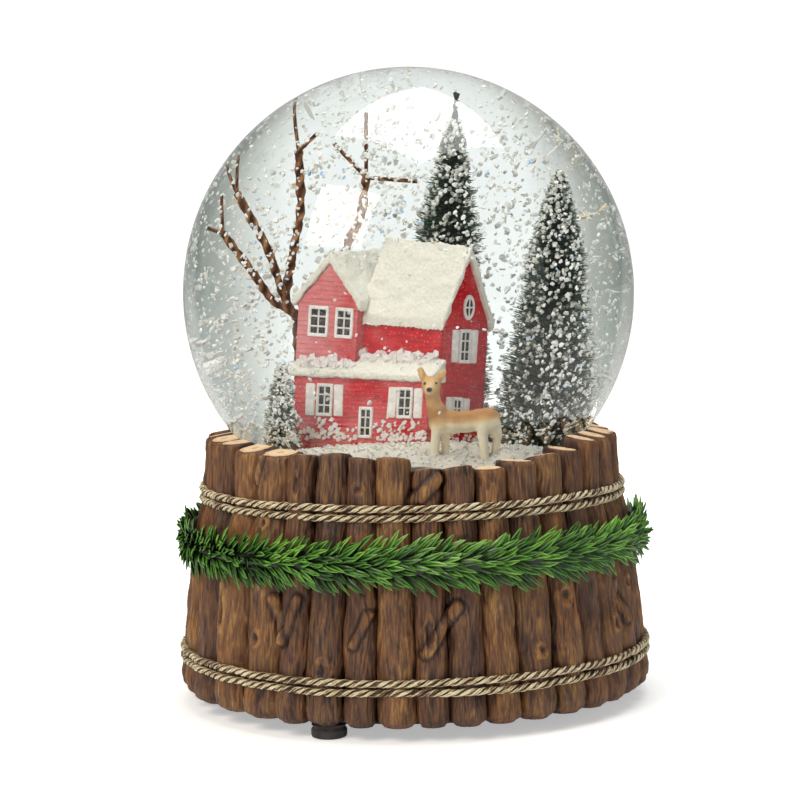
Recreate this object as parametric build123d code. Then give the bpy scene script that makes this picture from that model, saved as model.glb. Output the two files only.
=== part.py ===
from build123d import *
from math import atan2, cos, pi, radians, sin, sqrt
import os

# A wind-up musical snow globe: a water-filled glass ball with a winter scene, seated in a ring of logs.
# Units are millimetres. +Z is up, -Y is the front, and the origin is on the table under the centre.

# Glass ball, its open neck, and the rubber stopper that closes it
ball_radius = 60.0
glass_wall = 2.0
ball_centre_z = 107.8
neck_radius = 41.0
neck_wall = 2.5
neck_bottom_z = 54.0
neck_top_z = 77.8
stopper_plug_height = 7.5
stopper_flange_thickness = 2.6
sealant_thickness = 1.5
sealant_top_z = 63.0

# Cast base in the form of a ring of upright logs
log_count = 41
rim_bottom_z = 3.5
base_top_z = 69.5
base_bottom_radius = 63.3
base_top_radius = 54.8
log_groove_depth = 1.6
recess_radius = 50.0
plate_bottom_z = 11.5
plate_top_z = 14.0
plate_gap = 0.2
plate_key_hole_radius = 3.0
cavity_bottom_radius = 45.0
cavity_top_radius = 43.0
cavity_top_z = 48.6
deck_top_z = 51.4
deck_hole_radius = 30.0
socket_gap = 0.3

# Trim round the base: two pairs of ropes and a garland
rope_radius = 0.95
lower_rope_centre_radius = 62.95
lower_rope_z = 13.8
lower_rope_spacing = 2.6
upper_rope_centre_radius = 56.85
upper_rope_z = 56.0
upper_rope_spacing = 2.6
garland_centre_radius = 60.3
garland_z = 43.9
garland_half_width = 3.6
garland_half_height = 5.8

# Rubber feet
foot_count = 3
foot_circle_radius = 56.0
foot_top_radius = 4.5
foot_bottom_radius = 4.0
first_foot_angle = -112.8
foot_names = ["front_left", "right", "back"]

# Screws
plate_screw_count = 4
plate_screw_circle = 47.4
plate_screw_radius = 1.1
plate_screw_top_z = 22.0
plate_screw_head_radius = 2.2
movement_screw_spots = [(-11.0, -10.0), (30.0, -11.0), (2.0, 21.0)]
movement_screw_radius = 1.0
movement_screw_head_radius = 2.0
screw_head_height = 1.1
screw_slot_length = 2.4
screw_slot_width = 0.5
screw_slot_depth = 0.5

# Musical movement: a spring barrel turns a crown wheel, which turns the pinned cylinder
bedplate_thickness = 2.0
bedplate_low = (-15.0, -14.0)
bedplate_high = (36.0, 25.5)
arbor_radius = 2.0
running_clearance = 0.05
arbor_bottom_z = 9.5
arbor_top_z = 29.0
barrel_radius = 13.0
barrel_wall = 0.8
barrel_top_z = 25.8
mainspring_turns = 7
mainspring_thickness = 0.45
mainspring_inner_radius = 3.2
mainspring_outer_radius = 11.6
mainspring_gap = 0.5
crown_bottom_z = 26.3
crown_web = 2.0
crown_radius = 13.0
crown_teeth = 36
crown_tooth_height = 1.2
crown_tooth_length = 2.0
tooth_thickness = 0.6
tooth_root = 0.1
cylinder_axis_z = 32.9
cylinder_radius = 6.5
cylinder_start_x = 15.5
cylinder_end_x = 34.0
pin_height = 0.45
pin_size = 0.4
pin_sunk = 0.4
pins_per_track = 3
first_pin_angle = 50
pin_angle_per_note = 37
note_count = 18
cylinder_arbor_radius = 0.75
arbor_end_gap = 0.2
pinion_teeth = 12
pinion_root_radius = 3.2
pinion_tip_radius = 4.5
inner_upright_x = 13.7
outer_upright_x = 34.5
upright_thickness = 1.2
upright_low_y = -13.0
upright_high_y = 6.0
upright_top_z = 38.0
spur_teeth = 36
spur_root_radius = 8.3
spur_tip_radius = 9.55
spur_start_x = 36.5
spur_width = 1.5
spur_tooth_thickness = 0.48
governor_teeth = 8
governor_tooth_thickness = 0.36
governor_root_radius = 1.2
governor_tip_radius = 2.5
governor_y = -9.0
gear_centre_distance = 11.0
governor_shaft_radius = 0.5
fan_radius = 3.3
fan_start_x = 23.0
fan_length = 8.0
fan_hub_radius = 1.0
fan_thickness = 0.4
comb_tip_y = 7.2
comb_root_y = 12.5
comb_back_y = 25.0
comb_thickness = 1.2
comb_slot = 0.3
comb_root_slope = 0.25
comb_screw_radius = 1.2
comb_screw_y = 21.0
comb_screw_inset = 4.0
comb_screw_depth = 6.0
comb_screw_head_radius = 2.2
comb_screw_head_height = 1.2
comb_block_front_y = 17.5

# Winding key, a flat butterfly in the recess under the base
key_half_width = 11.0
key_thickness = 3.0
key_bottom_z = 1.5
key_top_z = 9.0
key_hub_radius = 3.5
key_hub_top_z = 11.3
key_corner = 2.0
key_waist = 1.5

# Winter scene on the stopper
ground_radius = 37.9
ground_edge_z = 68.5
ground_top_z = 77.2
ground_crown_y = 3.0
settled_low_z = 65.4
settled_high_z = 70.8
settled_gap = 0.1
house_corner = (5.1, -13.1, 76.4)
house_turn = 33.5
house_tilt_right = 4.0
house_tilt_back = 1.7
house_sunk = 3.5
main_width = 19.25
main_depth = 16.0
main_eave = 25.5
main_ridge = 39.3
wing_width = 13.9
wing_front = -2.5
wing_eave = 27.8
wing_ridge = 36.1
porch_front = -4.5
porch_eave = 13.0
porch_head = 17.2
porch_left = -32.0
porch_right = 0.8
roof_snow = 2.4
porch_snow = 1.2
roof_overhang = 1.0
frame_proud = 0.35
shutter_proud = 0.3
flake_count = 30
flake_size = 1.5
flake_reach = 50.0
flake_reach_step = 4.0 / 3
flake_lowest = -0.3
flake_highest = 0.9
deer_y = -29.8
deer_thickness = 5.0

# Each opening is (left, right, bottom, top) on its wall.
wing_windows = [(-30.6, -26.0, 21.2, 27.2), (-24.4, -20.2, 21.2, 27.2)]
porch_windows = [(-26.7, -22.9, 5.0, 11.6), (-7.1, -3.2, 5.0, 11.6)]
gable_windows = [(6.2, 10.0, 17.5, 24.3), (4.9, 8.4, 3.4, 10.2)]
porch_door = (-16.4, -13.0, 0.5, 7.1)
shutter_width = 2.4
oval_centre = (8.9, 28.9)
oval_radius = 1.9

# The deer: its side outline in X and Z, then its ears and legs
deer_outline = [(20.6, 78.0), (20.1, 81.6), (17.4, 82.9), (9.2, 82.9), (6.9, 86.0), (6.4, 90.0), (3.0, 90.2),
                (1.4, 87.4), (3.0, 85.2), (3.7, 81.6), (4.0, 78.0), (7.4, 76.6), (16.6, 76.6)]
deer_ears = [(3.6, 2.4), (5.8, 7.0)]
deer_ear_root_z = 89.2
deer_ear_tip_z = 91.8
deer_ear_radius = 0.7
deer_leg_x = (5.9, 17.9)
deer_leg_apart = 3.2
deer_leg_top_z = 78.0
deer_leg_radius = 0.85
deer_leg_sunk = 0.8

# Bristle firs, each (base, tip, base radius, tip radius), leaning from base to tip
fir_trees = {
    "fir_tree_right": ((26, 5, 73), (30.7, 5, 132), 10.8, 0.6),
    "fir_tree_back": ((4.2, 21.5, 73), (9.3, 20, 142.9), 11.5, 0.6),
    "fir_tree_left": ((-28.4, -10, 71.5), (-26.9, -10, 94.3), 4.8, 0.5),
}

# Bare twig trees, each branch (radius, points)
thick_twig = 0.8
thin_twig = 0.4
left_twig_branches = [
    (thick_twig, [(-20.5, 12, 70.0), (-21.6, 11, 100.5), (-22.4, 9, 104.0), (-26.7, 7, 106.8),
                  (-30.7, 6, 112.5), (-36.6, 6, 120.2)]),
    (thin_twig, [(-36.6, 6, 120.2), (-37.4, 6, 128.2)]),
    (thin_twig, [(-36.6, 6, 120.2), (-40.4, 6, 121.5)]),
    (thick_twig, [(-22.4, 9, 104.0), (-24.4, 7, 107.5), (-27.2, 6, 116.1), (-30.2, 6, 121.8),
                  (-33.8, 6, 128.2)]),
    (thin_twig, [(-33.8, 6, 128.2), (-37.8, 6, 135.6)]),
    (thin_twig, [(-33.8, 6, 128.2), (-34.5, 6, 136.7)]),
    (thick_twig, [(-22.4, 9, 104.0), (-23.6, 10, 107.5), (-21.7, 10, 117.9), (-20.5, 10, 124.6),
                  (-20.7, 10, 135.3)]),
    (thin_twig, [(-20.7, 10, 135.3), (-22.5, 10, 148.5)]),
    (thin_twig, [(-20.7, 10, 135.3), (-17.2, 10, 138.6)]),
]
back_twig_branches = [
    (thick_twig, [(-9.0, 23, 70.0), (-12.6, 22, 106.0), (-11.3, 19, 116.2), (-8.8, 18, 121.5),
                  (-7.5, 18, 128.9)]),
    (thin_twig, [(-7.5, 18, 128.9), (-7.2, 18, 140.5)]),
    (thin_twig, [(-7.5, 18, 128.9), (-13.2, 18, 135.0)]),
    (thin_twig, [(-7.5, 18, 128.9), (2.1, 18, 128.0)]),
]


def ring(outer, inner, low, high):
    """A flat ring or tube about Z between two heights."""
    body = cylinder(outer, low, high)
    bore = cylinder(inner, low - 1, high + 1)
    return body - bore


def cylinder(radius, low, high, x=0.0, y=0.0):
    """An upright cylinder between two heights."""
    return Pos(x, y, low) * Cylinder(radius, high - low, align=(Align.CENTER, Align.CENTER, Align.MIN))


def cylinder_x(radius, start, end, y, z):
    """A cylinder along X between two positions."""
    lying = Rot(0, 90, 0) * Cylinder(radius, end - start)
    return Pos((start + end) / 2, y, z) * lying


def block(low, high):
    """A box between two opposite corners."""
    size = [b - a for a, b in zip(low, high)]
    middle = [(a + b) / 2 for a, b in zip(low, high)]
    return Pos(*middle) * Box(*size)


def rod(start, end, radius):
    """A round bar between any two points."""
    direction = Vector(*end) - Vector(*start)
    plane = Plane(origin=start, z_dir=direction)
    return plane.location * Cylinder(radius, direction.length, align=(Align.CENTER, Align.CENTER, Align.MIN))


def fused(pieces):
    """All the pieces joined into one."""
    whole = pieces[0]
    for piece in pieces[1:]:
        whole = whole + piece
    return whole


def toothed_outline(root, tip, teeth, thickness, phase):
    """The outline of a gear with thin straight teeth; phase is the first tooth's angle in degrees."""
    points = []
    root_half = thickness / 2 / root
    tip_half = thickness * 0.35 / tip
    for index in range(teeth):
        angle = radians(phase) + 2 * pi * index / teeth
        for radius, turn in ((root, -root_half), (tip, -tip_half), (tip, tip_half), (root, root_half)):
            points.append((radius * cos(angle + turn), radius * sin(angle + turn)))
    return make_face(Polyline(*points, close=True))


# ---------------------------------------------------------------- base

def log_outline(radius, z):
    """A ring of equal arcs, one for each log."""
    groove = radius - log_groove_depth
    step = 2 * pi / log_count
    arcs = []
    for index in range(log_count):
        start, middle, end = (index * step, (index + 0.5) * step, (index + 1) * step)
        arcs.append(ThreePointArc(
            (groove * cos(start), groove * sin(start)),
            (radius * cos(middle), radius * sin(middle)),
            (groove * cos(end), groove * sin(end))))
    return Pos(0, 0, z) * make_face(arcs)


def plate_screw_spots():
    spots = []
    for index in range(plate_screw_count):
        angle = radians(45 + 360 * index / plate_screw_count)
        spots.append((plate_screw_circle * cos(angle), plate_screw_circle * sin(angle)))
    return spots


def make_log_base_shell():
    bottom = log_outline(base_bottom_radius, rim_bottom_z)
    top = log_outline(base_top_radius, base_top_z)
    shell = loft([bottom, top], ruled=True)
    shell = shell - cylinder(recess_radius, rim_bottom_z - 1, plate_top_z)
    cavity = Pos(0, 0, plate_top_z) * Cone(
        cavity_bottom_radius, cavity_top_radius, cavity_top_z - plate_top_z,
        align=(Align.CENTER, Align.CENTER, Align.MIN))
    shell = shell - cavity
    shell = shell - cylinder(deck_hole_radius, cavity_top_z - 1, deck_top_z + 1)
    shell = shell - cylinder(neck_radius + sealant_thickness, deck_top_z, base_top_z)
    shell = shell - Pos(0, 0, ball_centre_z) * Sphere(ball_radius + socket_gap)
    for x, y in plate_screw_spots():
        shell = shell - cylinder(plate_screw_radius, plate_top_z - 1, plate_screw_top_z, x, y)
    return shell


def make_rope(centre_radius, z):
    return Pos(0, 0, z) * Torus(centre_radius, rope_radius)


def make_garland():
    oval = Ellipse(garland_half_width, garland_half_height)
    return revolve(Plane.XZ * Pos(garland_centre_radius, garland_z) * oval, Axis.Z)


def make_bottom_plate():
    plate = cylinder(recess_radius - plate_gap, plate_bottom_z, plate_top_z)
    plate = plate - cylinder(plate_key_hole_radius, plate_bottom_z - 1, plate_top_z + 1)
    for x, y in plate_screw_spots():
        plate = plate - cylinder(plate_screw_radius, plate_bottom_z - 1, plate_top_z + 1, x, y)
    for x, y in movement_screw_spots:
        plate = plate - cylinder(movement_screw_radius, plate_bottom_z - 1, plate_top_z + 1, x, y)
    return plate


def make_screws(spots, shank_radius, head_radius, top_z):
    """Screws driven up from below, each with a crossed slot in its head."""
    screws = []
    for x, y in spots:
        screw = cylinder(shank_radius, plate_bottom_z, top_z, x, y)
        screw = screw + cylinder(head_radius, plate_bottom_z - screw_head_height, plate_bottom_z, x, y)
        slot = Box(screw_slot_length, screw_slot_width, screw_slot_depth * 2)
        for turn in (0, 90):
            screw = screw - Pos(x, y, plate_bottom_z - screw_head_height) * Rot(0, 0, turn) * slot
        screws.append(screw)
    return Compound(screws)


def make_foot(index):
    angle = radians(first_foot_angle + 360 * index / foot_count)
    foot = Cone(foot_bottom_radius, foot_top_radius, rim_bottom_z,
                align=(Align.CENTER, Align.CENTER, Align.MIN))
    return Pos(foot_circle_radius * cos(angle), foot_circle_radius * sin(angle), 0) * foot


# ---------------------------------------------------------------- glass

def make_glass_globe():
    outside = Pos(0, 0, ball_centre_z) * Sphere(ball_radius)
    outside = outside + cylinder(neck_radius, neck_bottom_z, neck_top_z)
    below = cylinder(ball_radius, 0, neck_bottom_z)
    inside = Pos(0, 0, ball_centre_z) * Sphere(ball_radius - glass_wall)
    inside = inside + cylinder(neck_radius - neck_wall, neck_bottom_z - 1, neck_top_z)
    return outside - below - inside


def make_rubber_stopper():
    flange = cylinder(neck_radius, deck_top_z, deck_top_z + stopper_flange_thickness)
    plug = cylinder(neck_radius - neck_wall, neck_bottom_z, neck_bottom_z + stopper_plug_height)
    return flange + plug


# ---------------------------------------------------------------- scene

def ground_height(x, y):
    """The snow's height: a low mound, highest behind the middle."""
    distance = sqrt(x * x + (y - ground_crown_y) ** 2) / (ground_radius + ground_crown_y)
    return ground_top_z - (ground_top_z - ground_edge_z) * min(distance, 1.0) ** 2


def make_snow_ground():
    floor_z = neck_bottom_z + stopper_plug_height
    half_chord = ground_radius + ground_crown_y
    rise = ground_top_z - ground_edge_z
    mound_radius = (half_chord ** 2 + rise ** 2) / (2 * rise)
    column = cylinder(ground_radius, floor_z, ground_top_z + 2)
    mound = Pos(0, ground_crown_y, ground_top_z - mound_radius) * Sphere(mound_radius)
    return column & mound


def make_settled_snow():
    inside = Pos(0, 0, ball_centre_z) * Sphere(ball_radius - glass_wall - settled_gap)
    return inside & ring(ball_radius, ground_radius + settled_gap, settled_low_z, settled_high_z)


def house_location():
    """The house's own frame: X along its front to the right, Y back, Z up its walls."""
    turn = radians(house_turn)
    right = Vector(cos(turn), -sin(turn), -sin(radians(house_tilt_right)))
    back = Vector(sin(turn), cos(turn), -sin(radians(house_tilt_back)))
    return Plane(origin=house_corner, x_dir=right, z_dir=right.cross(back)).location


def gable_face(low, high, eave, ridge):
    """The outline of a gable wall."""
    middle = (low + high) / 2
    points = [(low, -house_sunk), (high, -house_sunk), (high, eave), (middle, ridge), (low, eave)]
    return make_face(Polyline(*points, close=True))


def gable_block(low_x, high_x, low_y, high_y, eave, ridge, ridge_along_x):
    """A wall block with a pitched top, down to below the snow."""
    if ridge_along_x:
        return Pos(low_x, 0, 0) * extrude(Plane.YZ * gable_face(low_y, high_y, eave, ridge), high_x - low_x)
    return Pos(0, high_y, 0) * extrude(Plane.XZ * gable_face(low_x, high_x, eave, ridge), high_y - low_y)


def make_house_walls():
    main = gable_block(-main_width, 0, 0, main_depth, main_eave, main_ridge, True)
    wing = gable_block(-main_width - wing_width, -main_width, wing_front, main_depth,
                       wing_eave, wing_ridge, False)
    porch = block((porch_left, porch_front, -house_sunk), (porch_right, 0, porch_eave))
    return main + wing + porch


def roof_profile(half_span, eave, ridge):
    """The section of a pitched snow cover, with its eaves past the walls."""
    slope = (ridge - eave) / half_span
    reach = half_span + roof_overhang
    low = ridge - slope * reach
    return [(-reach, low), (0, ridge), (reach, low), (reach, low + roof_snow), (0, ridge + roof_snow),
            (-reach, low + roof_snow)]


def make_main_roof_snow():
    face = make_face(Polyline(*roof_profile(main_depth / 2, main_eave, main_ridge), close=True))
    span = main_width + 2 * roof_overhang
    return Pos(-main_width - roof_overhang, main_depth / 2, 0) * extrude(Plane.YZ * face, span)


def make_wing_roof_snow(main_roof, walls):
    face = make_face(Polyline(*roof_profile(wing_width / 2, wing_eave, wing_ridge), close=True))
    span = main_depth - wing_front + 2 * roof_overhang
    cover = Pos(-main_width - wing_width / 2, main_depth + roof_overhang, 0) * extrude(Plane.XZ * face, span)
    return largest(cover - main_roof - walls)


def make_porch_roof_snow(walls):
    reach = porch_front - roof_overhang
    points = [(reach, porch_eave), (0, porch_eave), (0, porch_head + porch_snow),
              (reach, porch_eave + porch_snow)]
    face = make_face(Polyline(*points, close=True))
    span = porch_right - porch_left + 2 * roof_overhang
    cover = Pos(porch_left - roof_overhang, 0, 0) * extrude(Plane.YZ * face, span)
    return largest(cover - walls)


def largest(shape):
    """The biggest solid of a cut shape, without the offcuts."""
    return sorted(shape.solids(), key=lambda solid: solid.volume)[-1]


def front_panel(opening, wall_y, proud):
    left, right, bottom, top = opening
    return block((left, wall_y - proud, bottom), (right, wall_y, top))


def side_panel(opening, proud):
    near, far, bottom, top = opening
    return block((0, near, bottom), (proud, far, top))


def make_house_windows():
    panels = [front_panel(opening, wing_front, frame_proud) for opening in wing_windows]
    panels += [front_panel(opening, porch_front, frame_proud) for opening in porch_windows]
    panels += [side_panel(opening, frame_proud) for opening in gable_windows]
    panels.append(cylinder_x(oval_radius, 0, frame_proud, oval_centre[0], oval_centre[1]))
    return Compound(panels)


def make_house_shutters():
    panels = []
    for left, right, bottom, top in porch_windows:
        for edge in (left - shutter_width, right):
            panels.append(front_panel((edge, edge + shutter_width, bottom, top), porch_front, shutter_proud))
    for near, far, bottom, top in gable_windows:
        for edge in (near - shutter_width, far):
            panels.append(side_panel((edge, edge + shutter_width, bottom, top), shutter_proud))
    return Compound(panels)


def make_fir(base, tip, base_radius, tip_radius):
    """A fir as a leaning cone of bristles."""
    direction = Vector(*tip) - Vector(*base)
    cone = Cone(base_radius, tip_radius, direction.length, align=(Align.CENTER, Align.CENTER, Align.MIN))
    return Plane(origin=base, z_dir=direction).location * cone


def make_deer():
    """A standing deer: a side outline of body, neck and head, on four legs, with two ears."""
    side = make_face(Polyline(*deer_outline, close=True))
    deer = Pos(0, deer_y + deer_thickness / 2, 0) * extrude(Plane.XZ * side, deer_thickness)
    ear_y = deer_y - deer_ear_radius
    for root_x, tip_x in deer_ears:
        deer = deer + rod((root_x, ear_y, deer_ear_root_z), (tip_x, ear_y, deer_ear_tip_z), deer_ear_radius)
    for leg_x in deer_leg_x:
        for leg_y in (deer_y - deer_leg_apart / 2, deer_y + deer_leg_apart / 2):
            foot_z = ground_height(leg_x, leg_y) - deer_leg_sunk
            deer = deer + rod((leg_x, leg_y, deer_leg_top_z), (leg_x, leg_y, foot_z), deer_leg_radius)
    return deer


def make_twigs(branches):
    """Branches as straight bars with round joints: each is (radius, points)."""
    pieces = []
    for radius, points in branches:
        for start, end in zip(points[:-1], points[1:]):
            pieces.append(rod(start, end, radius))
            pieces.append(Pos(*end) * Sphere(radius))
    return fused(pieces)


def make_snow_flakes():
    """Loose flakes spread by the golden angle, close inside the glass and clear of the scene."""
    golden = pi * (3 - sqrt(5))
    flake = Box(flake_size, flake_size * 0.8, flake_size * 0.4)
    flakes = []
    for index in range(flake_count):
        rise = flake_lowest + (flake_highest - flake_lowest) * index / flake_count
        reach = flake_reach + flake_reach_step * (index % 3)
        around = golden * index
        level = sqrt(1 - rise * rise) * reach
        spot = Pos(level * cos(around), level * sin(around), ball_centre_z + rise * reach)
        flakes.append(spot * Rot(40 * index, 25 * index, 0) * flake)
    return Compound(flakes)


def make_liquid_fill(standing_in):
    """The water: the inside of the ball above the stopper, less all that stands in it."""
    inside = Pos(0, 0, ball_centre_z) * Sphere(ball_radius - glass_wall)
    stopper_top_z = neck_bottom_z + stopper_plug_height
    inside = inside + cylinder(neck_radius - neck_wall, stopper_top_z, neck_top_z)
    inside = inside - cylinder(ball_radius, 0, stopper_top_z)
    for shape in standing_in:
        inside = inside - shape
    return largest(inside)


# ---------------------------------------------------------------- musical movement

bedplate_top_z = plate_top_z + bedplate_thickness
governor_z = cylinder_axis_z - sqrt(gear_centre_distance ** 2 - governor_y ** 2)
spur_end_x = spur_start_x + spur_width


def make_bedplate():
    plate = block((*bedplate_low, plate_top_z), (*bedplate_high, bedplate_top_z))
    plate = plate - cylinder(arbor_radius + running_clearance, plate_top_z - 1, bedplate_top_z + 1)
    for x, y in movement_screw_spots:
        plate = plate - cylinder(movement_screw_radius, plate_top_z - 1, bedplate_top_z + 1, x, y)
    return plate


def make_spring_barrel():
    """A drum open at the bottom, closed by the bedplate, with a hole for the arbor."""
    drum = cylinder(barrel_radius, bedplate_top_z, barrel_top_z)
    drum = drum - cylinder(barrel_radius - barrel_wall, bedplate_top_z - 1, barrel_top_z - barrel_wall)
    return drum - cylinder(arbor_radius + running_clearance, bedplate_top_z, barrel_top_z + 1)


def make_mainspring():
    """A flat spring wound as a spiral of even pitch."""
    steps_per_turn = 24
    turns = mainspring_turns
    strip = mainspring_thickness
    inner = mainspring_inner_radius
    outer = mainspring_outer_radius
    inner_side = []
    outer_side = []
    for step in range(turns * steps_per_turn + 1):
        angle = 2 * pi * step / steps_per_turn
        radius = inner + (outer - inner - strip) * step / (turns * steps_per_turn)
        inner_side.append((radius * cos(angle), radius * sin(angle)))
        outer_side.append(((radius + strip) * cos(angle), (radius + strip) * sin(angle)))
    face = make_face(Polyline(*inner_side, *reversed(outer_side), close=True))
    room = barrel_top_z - barrel_wall - bedplate_top_z
    return Pos(0, 0, bedplate_top_z + mainspring_gap) * extrude(face, room - 2 * mainspring_gap)


def make_upright(start_x):
    """A plate on edge with a bearing hole for each of the two shafts."""
    end_x = start_x + upright_thickness
    plate = block((start_x, upright_low_y, bedplate_top_z), (end_x, upright_high_y, upright_top_z))
    bearings = [(0, cylinder_axis_z, cylinder_arbor_radius), (governor_y, governor_z, governor_shaft_radius)]
    for y, z, radius in bearings:
        plate = plate - cylinder_x(radius + running_clearance, start_x - 1, end_x + 1, y, z)
    return plate


def make_winding_arbor():
    return cylinder(arbor_radius, arbor_bottom_z, arbor_top_z)


def make_great_wheel():
    """The crown wheel: a disc with teeth standing up round its rim."""
    top_z = crown_bottom_z + crown_web
    wheel = ring(crown_radius, arbor_radius, crown_bottom_z, top_z)
    middle = crown_radius - crown_tooth_length / 2
    tooth = Box(crown_tooth_length - 2 * tooth_root, tooth_thickness, crown_tooth_height + 2 * tooth_root)
    for index in range(crown_teeth):
        turn = 360 * (index + 0.5) / crown_teeth
        wheel = wheel + Rot(0, 0, turn) * Pos(middle, 0, top_z + crown_tooth_height / 2 - tooth_root) * tooth
    return wheel


def make_winding_key():
    """A butterfly key: two rounded wings on a hub that grips the arbor."""
    shoulder = key_half_width - key_corner
    points = [(0, key_bottom_z + key_waist), (shoulder, key_bottom_z),
              (key_half_width, key_bottom_z + key_corner), (key_half_width, key_top_z - key_waist),
              (shoulder, key_top_z), (0, key_top_z)]
    wing = make_face(Polyline(*points, close=True))
    plate = extrude(Plane.XZ * wing, key_thickness / 2, both=True)
    key = plate + mirror(plate, Plane.YZ)
    key = key + cylinder(key_hub_radius, key_top_z - key_corner, key_hub_top_z)
    return key - cylinder(arbor_radius, arbor_bottom_z, key_hub_top_z + 1)


def make_pin_cylinder():
    """The pinned cylinder, with its pins set in one track for each note."""
    drum = cylinder_x(cylinder_radius, cylinder_start_x, cylinder_end_x, 0, cylinder_axis_z)
    drum = drum - cylinder_x(cylinder_arbor_radius, cylinder_start_x - 1, cylinder_end_x + 1, 0,
                             cylinder_axis_z)
    pitch = (cylinder_end_x - cylinder_start_x) / note_count
    pin_middle = cylinder_radius + pin_height / 2 - pin_sunk / 2
    pin_box = Pos(0, 0, pin_middle) * Box(pin_size, pin_size, pin_height + pin_sunk)
    for note in range(note_count):
        x = cylinder_start_x + pitch * (note + 0.5)
        for pin in range(pins_per_track):
            turn = first_pin_angle + pin_angle_per_note * note + 360 / pins_per_track * pin
            drum = drum + Pos(x, 0, cylinder_axis_z) * Rot(turn, 0, 0) * pin_box
    return drum


def make_cylinder_arbor():
    start_x = crown_radius - crown_tooth_length - arbor_end_gap
    return cylinder_x(cylinder_arbor_radius, start_x, spur_end_x + 2 * arbor_end_gap, 0, cylinder_axis_z)


def gear_on_x(outline, start_x, width, y, z, bore):
    """A gear whose outline's first axis is Y and second is Z."""
    gear = Pos(start_x, y, z) * extrude(Plane.YZ * outline, width)
    return gear - cylinder_x(bore, start_x - 1, start_x + width + 1, y, z)


def make_cylinder_pinion():
    outline = toothed_outline(pinion_root_radius, pinion_tip_radius, pinion_teeth, tooth_thickness, -90)
    return gear_on_x(outline, crown_radius - crown_tooth_length, crown_tooth_length, 0, cylinder_axis_z,
                     cylinder_arbor_radius)


def make_drive_gear():
    toward_governor = atan2(governor_z - cylinder_axis_z, governor_y) * 180 / pi
    outline = toothed_outline(spur_root_radius, spur_tip_radius, spur_teeth, spur_tooth_thickness,
                              toward_governor)
    return gear_on_x(outline, spur_start_x, spur_width, 0, cylinder_axis_z, cylinder_arbor_radius)


def make_governor_shaft():
    """The governor's shaft with its small pinion, a gap of which faces the drive gear."""
    toward_gear = atan2(cylinder_axis_z - governor_z, -governor_y) * 180 / pi
    outline = toothed_outline(governor_root_radius, governor_tip_radius, governor_teeth,
                              governor_tooth_thickness, toward_gear + 180 / governor_teeth)
    pinion = Pos(spur_start_x, governor_y, governor_z) * extrude(Plane.YZ * outline, spur_width)
    start_x = inner_upright_x + arbor_end_gap / 2
    end_x = spur_end_x + arbor_end_gap
    shaft = cylinder_x(governor_shaft_radius, start_x, end_x, governor_y, governor_z)
    return shaft + pinion


def make_air_brake():
    """The fan that holds the tune to an even speed."""
    end_x = fan_start_x + fan_length
    fan = cylinder_x(fan_hub_radius, fan_start_x, end_x, governor_y, governor_z)
    fan = fan + block((fan_start_x, governor_y - fan_radius, governor_z - fan_thickness / 2),
                      (end_x, governor_y + fan_radius, governor_z + fan_thickness / 2))
    return fan - cylinder_x(governor_shaft_radius, fan_start_x - 1, end_x + 1, governor_y, governor_z)


comb_low_x = cylinder_start_x
comb_bottom_z = cylinder_axis_z - comb_thickness / 2
comb_top_z = comb_bottom_z + comb_thickness
comb_screw_bottom_z = comb_bottom_z - comb_screw_depth
comb_screw_spots = [(comb_low_x + comb_screw_inset, comb_screw_y),
                    (cylinder_end_x - comb_screw_inset, comb_screw_y)]


def make_comb():
    """The steel comb, cut into one tooth for each note."""
    comb = block((comb_low_x, comb_tip_y, comb_bottom_z), (cylinder_end_x, comb_back_y, comb_top_z))
    pitch = (cylinder_end_x - comb_low_x) / note_count
    for note in range(1, note_count):
        x = comb_low_x + pitch * note
        comb = comb - block((x - comb_slot / 2, comb_tip_y - 1, comb_bottom_z - 1),
                            (x + comb_slot / 2, comb_root_y + comb_root_slope * note, comb_top_z + 1))
    for x, y in comb_screw_spots:
        comb = comb - cylinder(comb_screw_radius, comb_bottom_z - 1, comb_top_z + 1, x, y)
    return comb


def make_comb_block():
    base = block((comb_low_x, comb_block_front_y, bedplate_top_z),
                 (cylinder_end_x, comb_back_y, comb_bottom_z))
    for x, y in comb_screw_spots:
        base = base - cylinder(comb_screw_radius, comb_screw_bottom_z, comb_bottom_z + 1, x, y)
    return base


def make_comb_screws():
    head_top_z = comb_top_z + comb_screw_head_height
    slot = Box(comb_screw_head_radius * 3, screw_slot_width, screw_slot_depth * 2)
    screws = []
    for x, y in comb_screw_spots:
        screw = cylinder(comb_screw_radius, comb_screw_bottom_z, comb_top_z, x, y)
        screw = screw + cylinder(comb_screw_head_radius, comb_top_z, head_top_z, x, y)
        screws.append(screw - Pos(x, y, head_top_z) * slot)
    return Compound(screws)


# ---------------------------------------------------------------- assembly

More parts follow.
